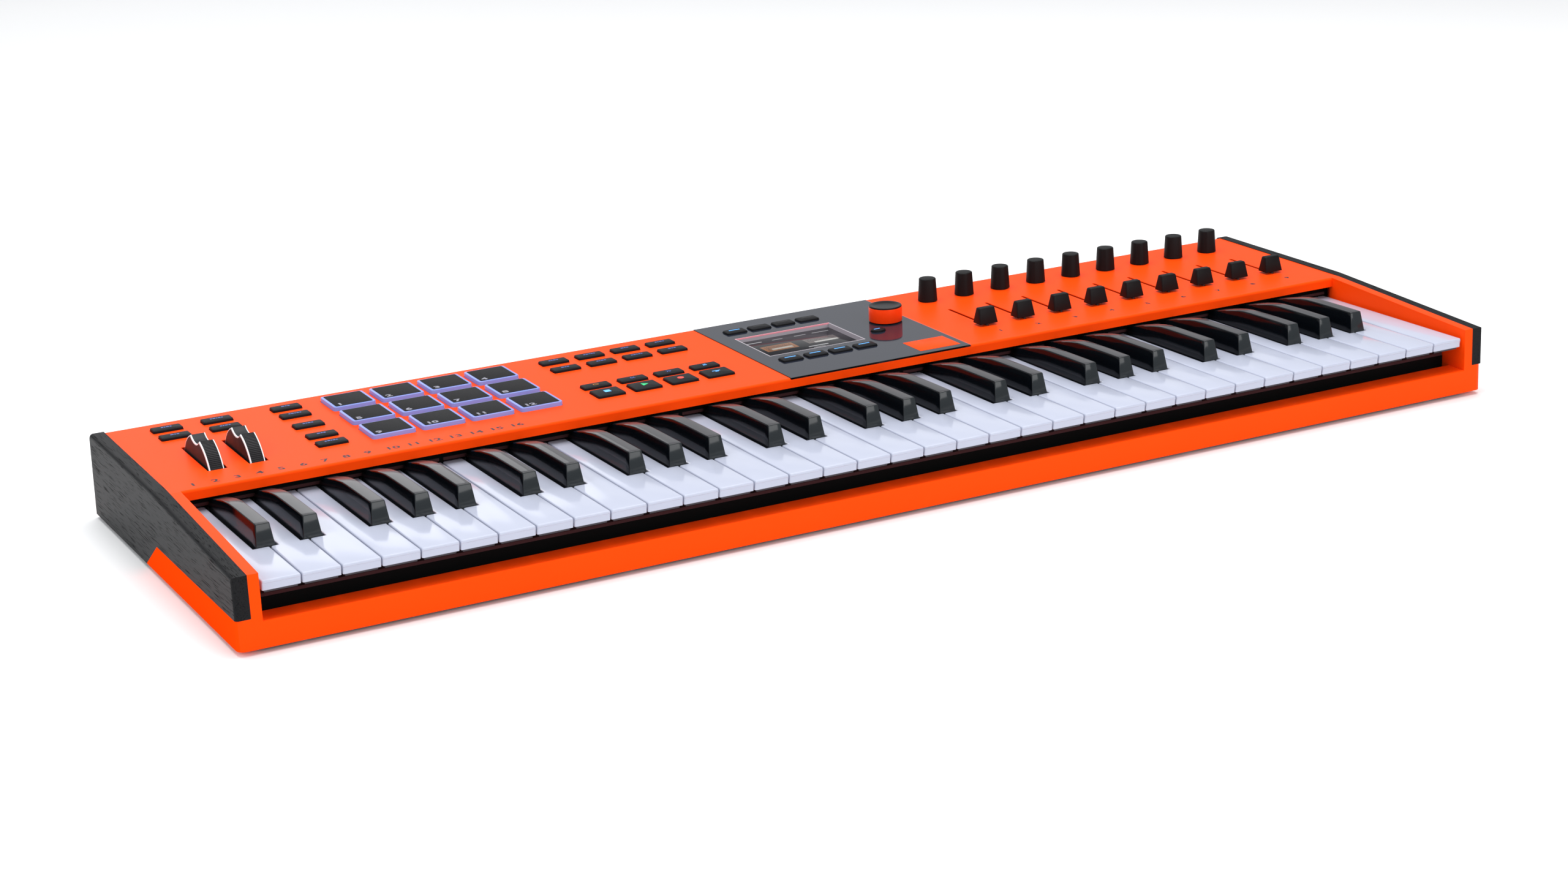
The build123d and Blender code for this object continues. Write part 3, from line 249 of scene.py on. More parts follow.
flat_paint = orange.place.node("ShaderNodeBsdfPrincipled", None, flat_values)
side_wall_x = 438.5
satin_paint = Signal(orange.tree, orange.shader.outputs[0])
shaders = {0: abs(orange.x) > side_wall_x, 1: satin_paint, 2: flat_paint}
both = orange.place.node("ShaderNodeMixShader", None, shaders)
orange.tree.links.new(both.socket, orange.tree.nodes["Material Output"].inputs["Surface"])
print(orange.material.name)


# %% Plain finishes of the inner and lower parts
def plain(name, colour, roughness, speck, scale, **constants):
    """An even finish whose colour and gloss vary a little."""
    finish = Finish(name, colour, roughness, **constants)
    cloud = finish.noise(scale, 3.0)
    dark = tuple(c * (1 - speck) for c in colour) + (1,)
    light = tuple(min(1.0, c * (1 + speck)) for c in colour) + (1,)
    finish.set("Base Color", mix(cloud, dark, light))
    finish.set("Roughness", roughness - 0.04 + 0.08 * cloud)
    finish.bump(cloud, 0.15, 0.03)
    return finish


# The steel is black, and its colour is set darker than black paint as painted shade, since the keybed
# frame shows only in the void under the keys.
black_steel = plain("black_steel", (0.002, 0.002, 0.002), 0.6, 0.25, 900, Specular_IOR_Level=0.05)
rubber = plain("rubber", (0.015, 0.015, 0.015), 0.75, 0.2, 1200)
bright_steel = plain("bright_steel", (0.58, 0.58, 0.6), 0.28, 0.08, 700, Metallic=1.0)
felt = plain("felt", (0.05, 0.012, 0.014), 0.95, 0.4, 2500)
board = plain("circuit_board", (0.01, 0.09, 0.035), 0.4, 0.3, 300)
sensor = plain("sensor_plastic", (0.03, 0.03, 0.032), 0.5, 0.2, 900)
socket_plastic = plain("socket_plastic", (0.014, 0.014, 0.015), 0.42, 0.2, 900)
print("plain finishes", 7)

# %% [markdown]
# ## Black open-pore wood
#
# The cheeks are solid wood, stained black, with the grain left open: short thin pores run
# along the length in bands. Noise that is stretched along Y gives the pores, and a second,
# broader noise decides where they crowd together. The pores are darker, rougher and sunk.

# %% Wood finish
wood = Finish("black_wood", (0.011, 0.011, 0.012), 0.5, Specular_IOR_Level=0.08)
pores = wood.noise(1900, 2.0, (1.3, 0.03, 1.0), 0.5)
crowd = wood.noise(34, 3.0, (1.0, 0.16, 1.0))
fibre = wood.noise(1300, 2.0, (1.0, 0.02, 1.0))
pore_mask = ((0.3 + 0.24 * crowd - pores) * 14).clamp(0, 1)
stain = mix(fibre, (0.0075, 0.0076, 0.0083, 1), (0.0125, 0.0126, 0.014, 1))
wood.set("Base Color", mix(pore_mask, stain, (0.003, 0.003, 0.0035, 1)))
wood.set("Roughness", 0.42 + 0.3 * pore_mask + 0.08 * fibre)
wood.bump(0.15 * fibre + (1 - pore_mask), 0.5, 0.1)
print(wood.material.name)

# %% [markdown]
# ## Finishes on the measured parts
#
# The case, base, cheeks, feet, screws and everything below the panel already have their true
# shape, so they stay and only take a material in their slot.


# %% Painting the frame
def paint_node(node, finish):
    """Gives a measured part its material."""
    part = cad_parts[node]
    part.data.materials.clear()
    part.data.materials.append(finish.material)


painted = {
    "orange_shell": (orange, ["upper_case"]),
    "black_steel": (black_steel, ["base_plate", "keybed_frame", "wheel_bracket"]),
    "black_wood": (wood, ["left_cheek", "right_cheek"]),
    "rubber": (rubber, ["rubber_feet", "pad_sensor_sheet"]),
    "bright_steel": (bright_steel, ["case_screws", "key_pivot_rod", "encoder_stem"]),
    "felt": (felt, ["key_stop_felts"]),
    "circuit_board": (board, ["key_contact_board", "control_boards", "main_board"]),
    "sensor_plastic": (sensor, ["rotary_sensors", "fader_tracks"]),
    "socket_plastic": (socket_plastic, ["rear_sockets"]),
}
for slot_name, (node_finish, node_names) in painted.items():
    for node_name in node_names:
        paint_node(node_name, node_finish)
floor_finish = Finish("studio_floor", (0.9, 0.9, 0.9), 0.8)
floor.data.materials.append(floor_finish.material)
print("painted slots", len(painted))

# %% [markdown]
# ## Modelling helpers
#
# Every piece starts as a primitive at its size and place. Faces and edges are then picked by
# where they are, and shaped with the edit-mode operators. Controls are modelled flat, with
# the panel as the floor, and laid on its slope at the end.

# %% Primitives and selection
def point(x, y, z):
    """Millimetres to metres."""
    return Vector((x, y, z)) * MM


def leave_edit():
    """Goes back to object mode."""
    bpy.ops.object.mode_set(mode="OBJECT")


def only(obj):
    """Leaves one object selected and active, in object mode."""
    if bpy.context.mode != "OBJECT":
        leave_edit()
    bpy.ops.object.select_all(action="DESELECT")
    obj.select_set(True)
    bpy.context.view_layer.objects.active = obj


def place_mesh(obj, name):
    """Names a new primitive and moves its place into its mesh."""
    obj.name = name
    obj.data.name = name
    bpy.ops.object.transform_apply(location=True, rotation=True, scale=True)
    return obj


def block(name, low, high):
    """A box from its lowest to its highest corner."""
    bpy.ops.object.select_all(action="DESELECT")
    middle = [(a + b) / 2 for a, b in zip(low, high)]
    bpy.ops.mesh.primitive_cube_add(size=1, location=point(*middle))
    obj = bpy.context.object
    obj.scale = point(*[b - a for a, b in zip(low, high)])
    return place_mesh(obj, name)


def drum(name, centre, radius, height, sides=48, top=None, turn=(0, 0, 0)):
    """A cylinder or cone about its centre, upright unless it is turned."""
    bpy.ops.object.select_all(action="DESELECT")
    upper = radius if top is None else top
    sizes = {"vertices": sides, "radius1": radius * MM, "radius2": upper * MM, "depth": height * MM}
    bpy.ops.mesh.primitive_cone_add(location=point(*centre), rotation=turn, **sizes)
    return place_mesh(bpy.context.object, name)


def choose(obj, kind, test):
    """Goes into edit mode with only the vertices, edges or faces that pass the test."""
    only(obj)
    bpy.ops.object.mode_set(mode="EDIT")
    bpy.ops.mesh.select_mode(type=kind)
    bpy.ops.mesh.select_all(action="DESELECT")
    leave_edit()
    mesh = obj.data
    places = [v.co / MM for v in mesh.vertices]
    if kind == "VERT":
        for vertex, place in zip(mesh.vertices, places):
            vertex.select = test(place)
    elif kind == "EDGE":
        for edge in mesh.edges:
            start, end = places[edge.vertices[0]], places[edge.vertices[1]]
            edge.select = test((start + end) / 2, (end - start).normalized())
    else:
        for face in mesh.polygons:
            face.select = test(face.center / MM, face.normal)
    bpy.ops.object.mode_set(mode="EDIT")


def round_edges(obj, test, width, segments=3):
    """Rounds the edges that pass the test."""
    choose(obj, "EDGE", test)
    bpy.ops.mesh.bevel(offset=width * MM, segments=segments, affect="EDGES")
    leave_edit()


def cut(obj, place, normal, remove_outer=False):
    """Cuts a mesh along a plane, and closes it where one side is thrown away."""
    choose(obj, "FACE", lambda middle, facing: True)
    outer = {"use_fill": remove_outer, "clear_outer": remove_outer}
    bpy.ops.mesh.bisect(plane_co=point(*place), plane_no=normal, **outer)
    leave_edit()


def clean(obj):
    """Merges doubles and turns every face outwards."""
    choose(obj, "FACE", lambda middle, facing: True)
    bpy.ops.mesh.remove_doubles(threshold=0.001 * MM)
    bpy.ops.mesh.normals_make_consistent(inside=False)
    leave_edit()


def paint(obj, finish):
    """Makes the finish a piece's only material."""
    obj.data.materials.clear()
    obj.data.materials.append(finish.material)
    return obj


def join(first, others):
    """Joins pieces into the first one."""
    only(first)
    for other in others:
        other.select_set(True)
    bpy.ops.object.join()
    return first


def carve(obj, tool):
    """Takes one closed shape away from another."""
    only(obj)
    modifier = obj.modifiers.new("carve", "BOOLEAN")
    modifier.operation = "DIFFERENCE"
    modifier.solver = "EXACT"
    modifier.object = tool
    bpy.ops.object.modifier_apply(modifier=modifier.name)
    bpy.data.objects.remove(tool)


def copy_to(obj, name, dx, dy=0.0, dz=0.0):
    """A copy with a mesh of its own, moved by whole millimetre steps."""
    only(obj)
    bpy.ops.object.duplicate()
    twin = bpy.context.object
    twin.location = point(dx, dy, dz)
    return place_mesh(twin, name)


def lay_on_panel(obj):
    """Tilts a piece that was modelled flat and sets it on the sloping panel."""
    only(obj)
    obj.rotation_euler = (panel_slope, 0, 0)
    obj.location = point(*panel_front)
    bpy.ops.object.transform_apply(location=True, rotation=True, scale=True)


def hand_over(obj, body, nodes=(), angle=35):
    """Smooths a finished piece and ties it to the body that it moves with."""
    only(obj)
    bpy.ops.object.shade_smooth_by_angle(angle=math.radians(angle))
    obj.select_set(False)
    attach(obj, body)
    if nodes:
        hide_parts(*nodes)


print("helpers ready, panel slope", round(math.degrees(panel_slope), 2))

# %% [markdown]
# ## Key finishes
#
# White keys are cast gloss plastic: a cool white with a hard, clear surface. Black keys have
# polished sides and a top that is ground to a satin so that fingers grip it. Their front is
# painted a touch greyer and their top a lighter grey, as painted sheen, so the formulas pick by
# how far a face leans upwards or forwards.

# %% White and black key plastic
white_plastic = Finish("white_key", (0.445, 0.47, 0.57), 0.14, Specular_IOR_Level=0.32)
white_cloud = white_plastic.noise(60, 2.0)
white_plastic.set("Base Color", mix(white_cloud, (0.435, 0.46, 0.56, 1), (0.455, 0.48, 0.58, 1)))
white_plastic.set("Roughness", 0.12 + 0.05 * white_cloud)

# The inner body under each white key is the white plastic painted near-black violet, as painted shade,
# since it sits in shadow under the key.
key_core_painted_shade = plain("key_core_painted_shade", (0.02, 0.014, 0.022), 0.5, 0.2, 700)

black_plastic = Finish("black_key", (0.008, 0.009, 0.011), 0.12, Specular_IOR_Level=0.24)
facing = black_plastic.place.node("ShaderNodeNewGeometry", None, None, output=1)
backward = facing.node("ShaderNodeSeparateXYZ", None, {0: facing}, output=1)
upward = facing.node("ShaderNodeSeparateXYZ", None, {0: facing}, output=2)
# The top's satin roughness is the key's own; the lighter grey of the top and the greyer front are painted
# sheen.
satin_and_painted_sheen = ((upward - 0.8) * 8).clamp(0, 1)
black_grain = black_plastic.noise(4000, 2.0)
black_plastic.set("Roughness", 0.1 + satin_and_painted_sheen * (0.24 + 0.06 * black_grain))
black_with_painted_front_sheen = mix(backward < -0.7, (0.002, 0.0028, 0.004, 1), (0.022, 0.026, 0.028, 1))
black_plastic.set("Base Color", mix(satin_and_painted_sheen, black_with_painted_front_sheen, (0.026, 0.026, 0.03, 1)))
black_plastic.set("Coat Weight", 0.35 * satin_and_painted_sheen)
print(white_plastic.material.name, black_plastic.material.name)

# %% [markdown]
# ## White keys
#
# Each key is a wide head in front and a narrower tail that passes between the black keys. A
# box makes the head; two cuts mark the tail's width on its rear face, and that face is pulled
# back. The flat edges left by the cuts are dissolved, and then the rim is rounded in one go
# so that the corners come out as one soft shape.

# %% Key sizes
white_pitch = 23.5
octave_width = 7 * white_pitch
octaves = 5
key_left = -423.0
key_front = -146.0
white_top = 41.3
white_bottom = 35.3
lip_z = 39.7
lip_line = 0.5
lip_depth = 0.55
head_length = 55.0
white_length = 148.0
white_round = 0.9
key_gap = 0.9
tail_gap = 1.0
pivot = (11.5, 36.5)
web = 9.0
web_overlap = 12.0
core_inset = 1.6
core_setback = 2.4
core_length = 15.1
core_drop = 1.7
core_overlap = 0.2
note_names = ["c", "c_sharp", "d", "d_sharp", "e", "f", "f_sharp", "g", "g_sharp", "a", "a_sharp", "b"]
white_order = {"c": 0, "d": 1, "e": 2, "f": 3, "g": 4, "a": 5, "b": 6}


def slot_left(step):
    """Left edge of a semitone's slot behind the heads, from its octave's left edge."""
    if step < 5:
        return step * 3 * white_pitch / 5
    return 3 * white_pitch + (step - 5) * 4 * white_pitch / 7


def key_arm(name, centre, start):
    """The web and round boss that carry a key back to its hinge rod."""
    pivot_y, pivot_z = pivot
    low = (centre - web / 2, start, pivot_z - web / 2)
    high = (centre + web / 2, pivot_y, pivot_z + web / 2)
    bar = block(name + "_web", low, high)
    boss = drum(name + "_boss", (centre, pivot_y, pivot_z), web / 2, web, 32, turn=(0, math.pi / 2, 0))
    return [paint(bar, key_core_painted_shade), paint(boss, key_core_painted_shade)]


def octave_copies(first, name):
    """A key and its copies in the octaves above."""
    return [first] + [copy_to(first, name + "_" + str(i + 1), octave_width * i) for i in range(1, octaves)]


def hand_over_keys(keys, body):
    """Ties one note's keys to their body; the first one stands for the measured keys."""
    for number, key in enumerate(keys):
        hand_over(key, body, [body] if number == 0 else [])


print("white key", round(white_pitch - key_gap, 1), "mm wide")


# %% One white key
def white_key(name, note, full_tail=False):
    """A white key of the lowest octave."""
    step = note_names.index(note)
    left = key_left + white_order[note] * white_pitch + key_gap / 2
    right = left + white_pitch - key_gap
    tail_left = max(key_left + slot_left(step) + tail_gap / 2, left)
    tail_right = min(key_left + slot_left(step + 1) - tail_gap / 2, right)
    if full_tail:
        tail_right = right
    rear = key_front + head_length
    key = block(name, (left, key_front, white_bottom), (right, rear, white_top))
    for x in (tail_left, tail_right):
        if left + 0.1 < x < right - 0.1:
            cut(key, (x, 0, 0), (1, 0, 0))
    for z in (lip_z, lip_z - lip_line):
        cut(key, (0, 0, z), (0, 0, 1))
    choose(key, "VERT", lambda p: p.z < lip_z - 0.4 and p.y < key_front + 0.1)
    bpy.ops.transform.translate(value=(0, lip_depth * MM, 0))
    choose(key, "FACE", lambda m, n: n.y > 0.9 and tail_left < m.x < tail_right)
    pull = (0, (white_length - head_length) * MM, 0)
    bpy.ops.mesh.extrude_region_move(TRANSFORM_OT_translate={"value": pull})
    bpy.ops.mesh.select_all(action="SELECT")
    bpy.ops.mesh.dissolve_limited(angle_limit=math.radians(1))
    leave_edit()
    round_edges(key, lambda m, d: m.z > white_top - 0.01 or abs(d.z) > 0.7, white_round, 4)
    paint(key, white_plastic)
    # The inner body under the head takes the painted-shade plastic.
    core_front = key_front + core_setback
    low = (left + core_inset, core_front, white_bottom - core_drop)
    high = (right - core_inset, core_front + core_length, white_bottom + core_overlap)
    core = paint(block(name + "_core", low, high), key_core_painted_shade)
    middle = key_left + (slot_left(step) + slot_left(step + 1)) / 2
    return join(key, [core] + key_arm(name, middle, key_front + white_length - web_overlap))


for note in white_order:
    first = white_key("white_key_" + note + "_1", note)
    keys = octave_copies(first, "white_key_" + note)
    if note == "c":
        top_c = white_key("white_key_c_top", "c", full_tail=True)
        keys.append(copy_to(top_c, "white_key_c_6", octave_width * octaves))
        bpy.data.objects.remove(top_c)
    hand_over_keys(keys, "key_" + note)

# %% [markdown]
# ## Black keys
#
# A black key is wider at its foot than at its top, its front leans back and its top falls
# away towards the panel. A box is sliced across into stations; the top row of points is
# narrowed, its front pushed back, and each station lowered along a smooth curve. The long
# edges are rounded last, since that thin round catches the light.

# %% One black key
black_base = 11.7
black_crown = 8.6
black_rise = 13.2
black_length = 91.0
black_setback = 55.5
front_lean = 2.6
knee = 0.55
knee_drop = 0.6
tail_drop = 8.6
station_count = 14
black_round = 0.75


def crown_drop(part):
    """How far the top has fallen, part being 0 at the front and 1 at the rear end."""
    if part < knee:
        return knee_drop * (part / knee) ** 2
    t = (part - knee) / (1 - knee)
    return knee_drop + (tail_drop - knee_drop) * (0.3 * t + 1.25 * t * t - 0.55 * t * t * t)


def black_key(name, note):
    """A black key of the lowest octave."""
    step = note_names.index(note)
    centre = key_left + (slot_left(step) + slot_left(step + 1)) / 2
    front = key_front + black_setback
    rear = front + black_length
    crown = white_top + black_rise
    half = black_base / 2
    key = block(name, (centre - half, front, white_bottom), (centre + half, rear, crown))
    cut(key, (0, 0, white_top), (0, 0, 1))
    stations = [i / station_count for i in range(1, station_count)]
    for part in stations:
        cut(key, (0, front + part * black_length, 0), (0, 1, 0))
    choose(key, "VERT", lambda p: p.z > crown - 0.1)
    narrow = black_crown / black_base
    bpy.ops.transform.resize(value=(narrow, 1, 1), center_override=point(centre, 0, crown))
    choose(key, "VERT", lambda p: p.z > crown - 0.1 and p.y < front + 0.1)
    bpy.ops.transform.translate(value=(0, front_lean * MM, 0))
    for part in stations + [1.0]:
        y = front + part * black_length
        choose(key, "VERT", lambda p: p.z > white_top + 0.1 and abs(p.y - y) < 0.1)
        bpy.ops.transform.translate(value=(0, 0, -crown_drop(part) * MM))

    def rim(m, d):
        on_side = abs(abs(m.x - centre) - black_crown / 2) < 0.05 and m.z > white_top + 1
        on_front = m.y < front + front_lean + 0.1 and m.z > white_bottom + 0.5
        crease = abs(m.z - white_top) < 0.1
        return (on_side and abs(d.y) > 0.7) or (on_front and not crease)

    round_edges(key, rim, black_round, 3)
    paint(key, black_plastic)
    return join(key, key_arm(name, centre, rear - web_overlap))


for note in note_names:
    if note not in white_order:
        first = black_key("black_key_" + note + "_1", note)
        hand_over_keys(octave_copies(first, "black_key_" + note), "key_" + note)

# %% [markdown]
# ## Rubber buttons
#
# The buttons are soft black rubber caps with a pillowed top and a small lit mark. A box has
# its upright corners rounded; its top face is inset and lifted, which makes the shoulder, and
# the shoulder's edges are rounded. The marks are thin lit slabs on the crown.

# %% Rubber and light
soft_black = Finish("button_rubber", (0.005, 0.005, 0.0065), 0.5, Specular_IOR_Level=0.12)
skin = soft_black.noise(1800, 2.0)
soft_black.set("Roughness", 0.44 + 0.14 * skin)
soft_black.bump(skin, 0.15, 0.02)


def lamp(name, colour, strength):
    """A small lit mark."""
    finish = Finish(name, tuple(c * 0.6 for c in colour), 0.4, Emission_Strength=strength)
    glow = finish.noise(900, 1.0)
    dim = tuple(c * 0.85 for c in colour) + (1,)
    finish.set("Emission Color", mix(glow, dim, (*colour, 1)))
    return finish


blue_light = lamp("blue_light", (0.1, 0.42, 0.95), 1.0)
faint_light = lamp("faint_light", (0.06, 0.11, 0.42), 0.8)
green_light = lamp("green_light", (0.01, 0.75, 0.2), 0.9)
red_light = lamp("red_light", (0.85, 0.04, 0.02), 0.9)
amber_light = lamp("amber_light", (0.55, 0.2, 0.01), 0.6)
print("lit marks", 5)

# %% One button cap
button_rise = 1.8
cap_foot = -4.4
cap_width, cap_length = 19.3, 9.5
cap_corner = 1.2
shoulder = 0.4
mark_rise = 0.04
left_columns = (27.4, 60.0)
left_rows = (127.3, 108.7)
mode_column = 105.8
mode_rows = (127.3, 108.7, 83.3, 58.0, 39.6)
command_first, command_pitch = 292.3, 26.3
command_rows = (124.8, 105.2)
command_xs = [key_left + command_first + command_pitch * i for i in range(4)]


def button_cap(name, width, length):
    """A pillowed cap about the origin, modelled flat on the panel's floor."""
    edge_z = button_rise - shoulder
    cap = block(name, (-width / 2, -length / 2, cap_foot), (width / 2, length / 2, edge_z))
    round_edges(cap, lambda m, d: abs(d.z) > 0.9, cap_corner, 4)
    choose(cap, "FACE", lambda m, n: n.z > 0.9)
    bpy.ops.mesh.inset(thickness=1.1 * MM, depth=shoulder * MM)
    leave_edit()
    round_edges(cap, lambda m, d: abs(m.z - edge_z) < 0.05 and abs(d.z) < 0.1, 0.3, 3)
    return paint(cap, soft_black)


def bar_mark(x, row, width, length, finish):
    """A thin lit slab with its middle at x and row."""
    low = (x - width / 2, row - length / 2, button_rise - 0.1)
    high = (x + width / 2, row + length / 2, button_rise + mark_rise)
    return paint(block("mark", low, high), finish)


def button_set(places, prefix, body, width, length, marks):
    """One button per place, each with the marks that its index asks for."""
    model = button_cap(prefix, width, length)
    for index, (x, row) in enumerate(places):
        cap = copy_to(model, prefix + "_" + str(index + 1), x, row)
        join(cap, marks(index, x, row))
        lay_on_panel(cap)
        stands_in = index == 0 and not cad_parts[body].hide_render
        hand_over(cap, body, [body] if stands_in else [])
    bpy.data.objects.remove(model)


def word_marks(index, x, row):
    """A row of short faint dashes, which stands where a function would be printed."""
    space = 0.5
    sizes = [(1.4, 0.9, 1.8, 1.2), (2.0, 1.1, 1.5), (1.2, 1.7, 0.9, 1.5, 1.0)][index % 3]
    edge = x - (sum(sizes) + space * (len(sizes) - 1)) / 2
    dashes = []
    for size in sizes:
        dashes.append(bar_mark(edge + size / 2, row + 0.6, size, 1.3, faint_light))
        edge += size + space
    return dashes


left_places = [(key_left + x, row) for x in left_columns for row in left_rows]
left_places += [(key_left + mode_column, row) for row in mode_rows]
command_places = [(x, row) for x in command_xs for row in command_rows]
button_set(left_places, "left_button", "buttons_left", cap_width, cap_length, word_marks)
button_set(command_places, "command_button", "buttons_command", cap_width, cap_length, word_marks)
print("buttons", len(left_places) + len(command_places))

# %% [markdown]
# ## Transport buttons
#
# These carry the signs that every recorder uses: a loop, back and forward arrows, a metronome,
# stop, play, record and a tap bar. The signs are flat shapes a few hundredths proud of the
# rubber: a square, a three-sided and a round prism, and pairs of turned bars.

# %% Signs
sign_rise = button_rise - 0.1


def stroke(x, row, length, width, turn, finish):
    """A thin bar about its own middle, turned in the plane of the panel."""
    low = (-length / 2, -width / 2, sign_rise)
    bar = block("stroke", low, (length / 2, width / 2, button_rise + mark_rise))
    bar.rotation_euler = (0, 0, math.radians(turn))
    bar.location = point(x, row, 0)
    only(bar)
    return paint(place_mesh(bar, "stroke"), finish)


def disc_sign(x, row, radius, sides, finish, turn=0.0):
    """A round or many-sided prism with its middle at x and row."""
    height = 0.14
    middle = (x, row, sign_rise + height / 2)
    return paint(drum("sign", middle, radius, height, sides, turn=(0, 0, math.radians(turn))), finish)


def chevron(x, row, pointing, finish):
    """Two bars that meet in a point, to the right when pointing is 1."""
    upper = stroke(x, row + 0.62, 1.9, 0.45, -42 * pointing, finish)
    lower = stroke(x, row - 0.62, 1.9, 0.45, 42 * pointing, finish)
    return [upper, lower]


def small_sign(index, x, row):
    """Loop, back, forward and metronome."""
    if index == 0:
        sides = [(0, 1.0, 3.2, 0), (0, -1.0, 3.2, 0), (-1.6, 0, 2.0, 90), (1.6, 0, 1.2, 90)]
        return [stroke(x + dx, row + dy, size, 0.4, turn, amber_light) for dx, dy, size, turn in sides]
    if index in (1, 2):
        pointing = -1 if index == 1 else 1
        return [bar for dx in (-0.9, 0.9) for bar in chevron(x + dx, row, pointing, faint_light)]
    sides = [(-0.75, 0, 2.9, 72), (0.75, 0, 2.9, -72), (0, -1.35, 2.4, 0), (0.5, 0.3, 2.6, 55)]
    return [stroke(x + dx, row + dy, size, 0.4, turn, blue_light) for dx, dy, size, turn in sides]


def large_sign(index, x, row):
    """Stop, play, record and a tap bar."""
    if index == 0:
        return [bar_mark(x, row + 0.4, 4.2, 4.2, blue_light)]
    if index == 1:
        return [disc_sign(x, row + 0.4, 2.9, 3, green_light, -90)]
    if index == 2:
        return [disc_sign(x, row + 0.4, 2.2, 32, red_light)]
    return [bar_mark(x, row + 1.2, 5.6, 0.9, blue_light), bar_mark(x, row - 0.5, 2.4, 0.9, blue_light)]


small_row, large_row = 56.7, 38.2
large_length = 16.0
small_places = [(x, small_row) for x in command_xs]
large_places = [(x, large_row) for x in command_xs]
button_set(small_places, "transport_small", "buttons_transport", cap_width, cap_length, small_sign)
button_set(large_places, "transport_large", "buttons_transport", cap_width, large_length, large_sign)
print("transport buttons", 8)

# %% [markdown]
# ## Buttons beside the screen
#
# Four above and four below the screen, each with room for one lit bar, and a small oval one
# next to the large knob.


# %% Screen buttons and the oval button
def soft_bars(index, x, row):
    """A lit bar on the first upper button and on all the lower ones."""
    if row > 100 and index > 0:
        return [bar_mark(x, row + 1.1, 7.6, 0.7, sensor)]
    return [bar_mark(x, row + 1.1, 8.2, 1.0, blue_light)]


soft_first, soft_pitch = 3.9, 18.8
soft_rows = (120.9, 39.0)
soft_width, soft_length = 15.2, 9.0
soft_places = [(soft_first + soft_pitch * i, row) for row in soft_rows for i in range(4)]
button_set(soft_places, "screen_button", "buttons_screen", soft_width, soft_length, soft_bars)
oval = drum("back_button", (0, 0, (cap_foot + button_rise) / 2), 1, button_rise - cap_foot, 48)
choose(oval, "VERT", lambda p: True)
bpy.ops.transform.resize(value=(5.25, 4.0, 1), center_override=(0, 0, 0))
leave_edit()
round_edges(oval, lambda m, d: m.z > button_rise - 0.01, 0.7, 4)
oval = join(paint(oval, soft_black), [bar_mark(-0.6, 0.6, 4.6, 0.9, blue_light)])
oval_x, oval_row = 86.5, 66.5
back_button = copy_to(oval, "back_button_cap", oval_x, oval_row)
bpy.data.objects.remove(oval)
lay_on_panel(back_button)
hand_over(back_button, "buttons_screen")
print("screen buttons", len(soft_places) + 1)

# %% [markdown]
# ## Drum pads
#
# Each pad is black silicone on a translucent frame that is lit from below, so a violet rim
# shows all round it. The rim is a low slab with rounded upper edges, and the top is a thinner
# one set in from it; its number stands near the front left corner.

# %% Pad finishes
pad_rim = Finish("pad_rim", (0.18, 0.24, 0.57), 0.34, Emission_Strength=0.1)
rim_cloud = pad_rim.noise(45, 2.0)
pad_rim.set("Base Color", mix(rim_cloud, (0.13, 0.235, 0.58, 1), (0.23, 0.24, 0.56, 1)))
pad_rim.set("Emission Color", mix(rim_cloud, (0.15, 0.27, 0.8, 1), (0.28, 0.28, 0.74, 1)))
pad_black = Finish("pad_rubber", (0.006, 0.006, 0.007), 0.55, Specular_IOR_Level=0.12)
pad_skin = pad_black.noise(1500, 3.0)
pad_black.set("Roughness", 0.5 + 0.15 * pad_skin)
pad_black.bump(pad_skin, 0.2, 0.03)
pale_print = plain("pale_print", (0.22, 0.22, 0.27), 0.5, 0.1, 800)
dark_print = plain("dark_print", (0.03, 0.004, 0.004), 0.5, 0.2, 800)


# %% Plain numbers
digit_share = 0.69
digit_stretch = 1.3
print_depth = 0.02
stroke_growth = 0.26


def number_shape(text, x, row, height, rise, finish):
    """A plain number as a thin flat shape, its lower left corner at x and row."""
    bpy.ops.object.select_all(action="DESELECT")
    bpy.ops.object.text_add(location=(0, 0, 0))
    shape = bpy.context.object
    shape.data.body = text
    shape.data.size = height * MM / digit_share
    shape.data.extrude = print_depth * MM
    shape.data.offset = stroke_growth * MM
    shape.data.resolution_u = 3
    bpy.ops.object.convert(target="MESH")
    shape = bpy.context.object
    shape.scale = (digit_stretch, 1, 1)
    shape.location = point(x, row, rise + print_depth)
    return paint(place_mesh(shape, "number_" + text), finish)


# %% Pads
pad_xs = [key_left + 144.3 + 33.2 * i for i in range(4)]
pad_first_row, pad_pitch = 45.5, 35.7
pad_top, rim_top, pad_foot = 2.9, 2.7, -6.0
rim_x, rim_y = 14.25, 14.0
face_x, face_y = 12.5, 12.8
digit_x, digit_row, digit_height = -10.6, -11.2, 4.2
rim = block("pad_model", (-rim_x, -rim_y, pad_foot), (rim_x, rim_y, rim_top))
round_edges(rim, lambda m, d: abs(d.z) > 0.9, 2.0, 4)
round_edges(rim, lambda m, d: m.z > rim_top - 0.01, 0.4, 3)
face = block("pad_face", (-face_x, -face_y, rim_top - 0.3), (face_x, face_y, pad_top))
round_edges(face, lambda m, d: abs(d.z) > 0.9, 0.9, 3)
round_edges(face, lambda m, d: m.z > pad_top - 0.01, 0.2, 3)
pad_model = join(paint(rim, pad_rim), [paint(face, pad_black)])
for line in range(3):
    for column, x in enumerate(pad_xs):
        number = 4 * (2 - line) + column + 1
        row = pad_first_row + pad_pitch * line
        pad = copy_to(pad_model, "pad_" + str(number), x, row)
        digits = (str(number), x + digit_x, row + digit_row, digit_height, pad_top, pale_print)
        join(pad, [number_shape(*digits)])
        lay_on_panel(pad)
        body = "pads_row_" + str(line + 1)
        hand_over(pad, body, [body] if column == 0 else [])
bpy.data.objects.remove(pad_model)
print("pads", 12)

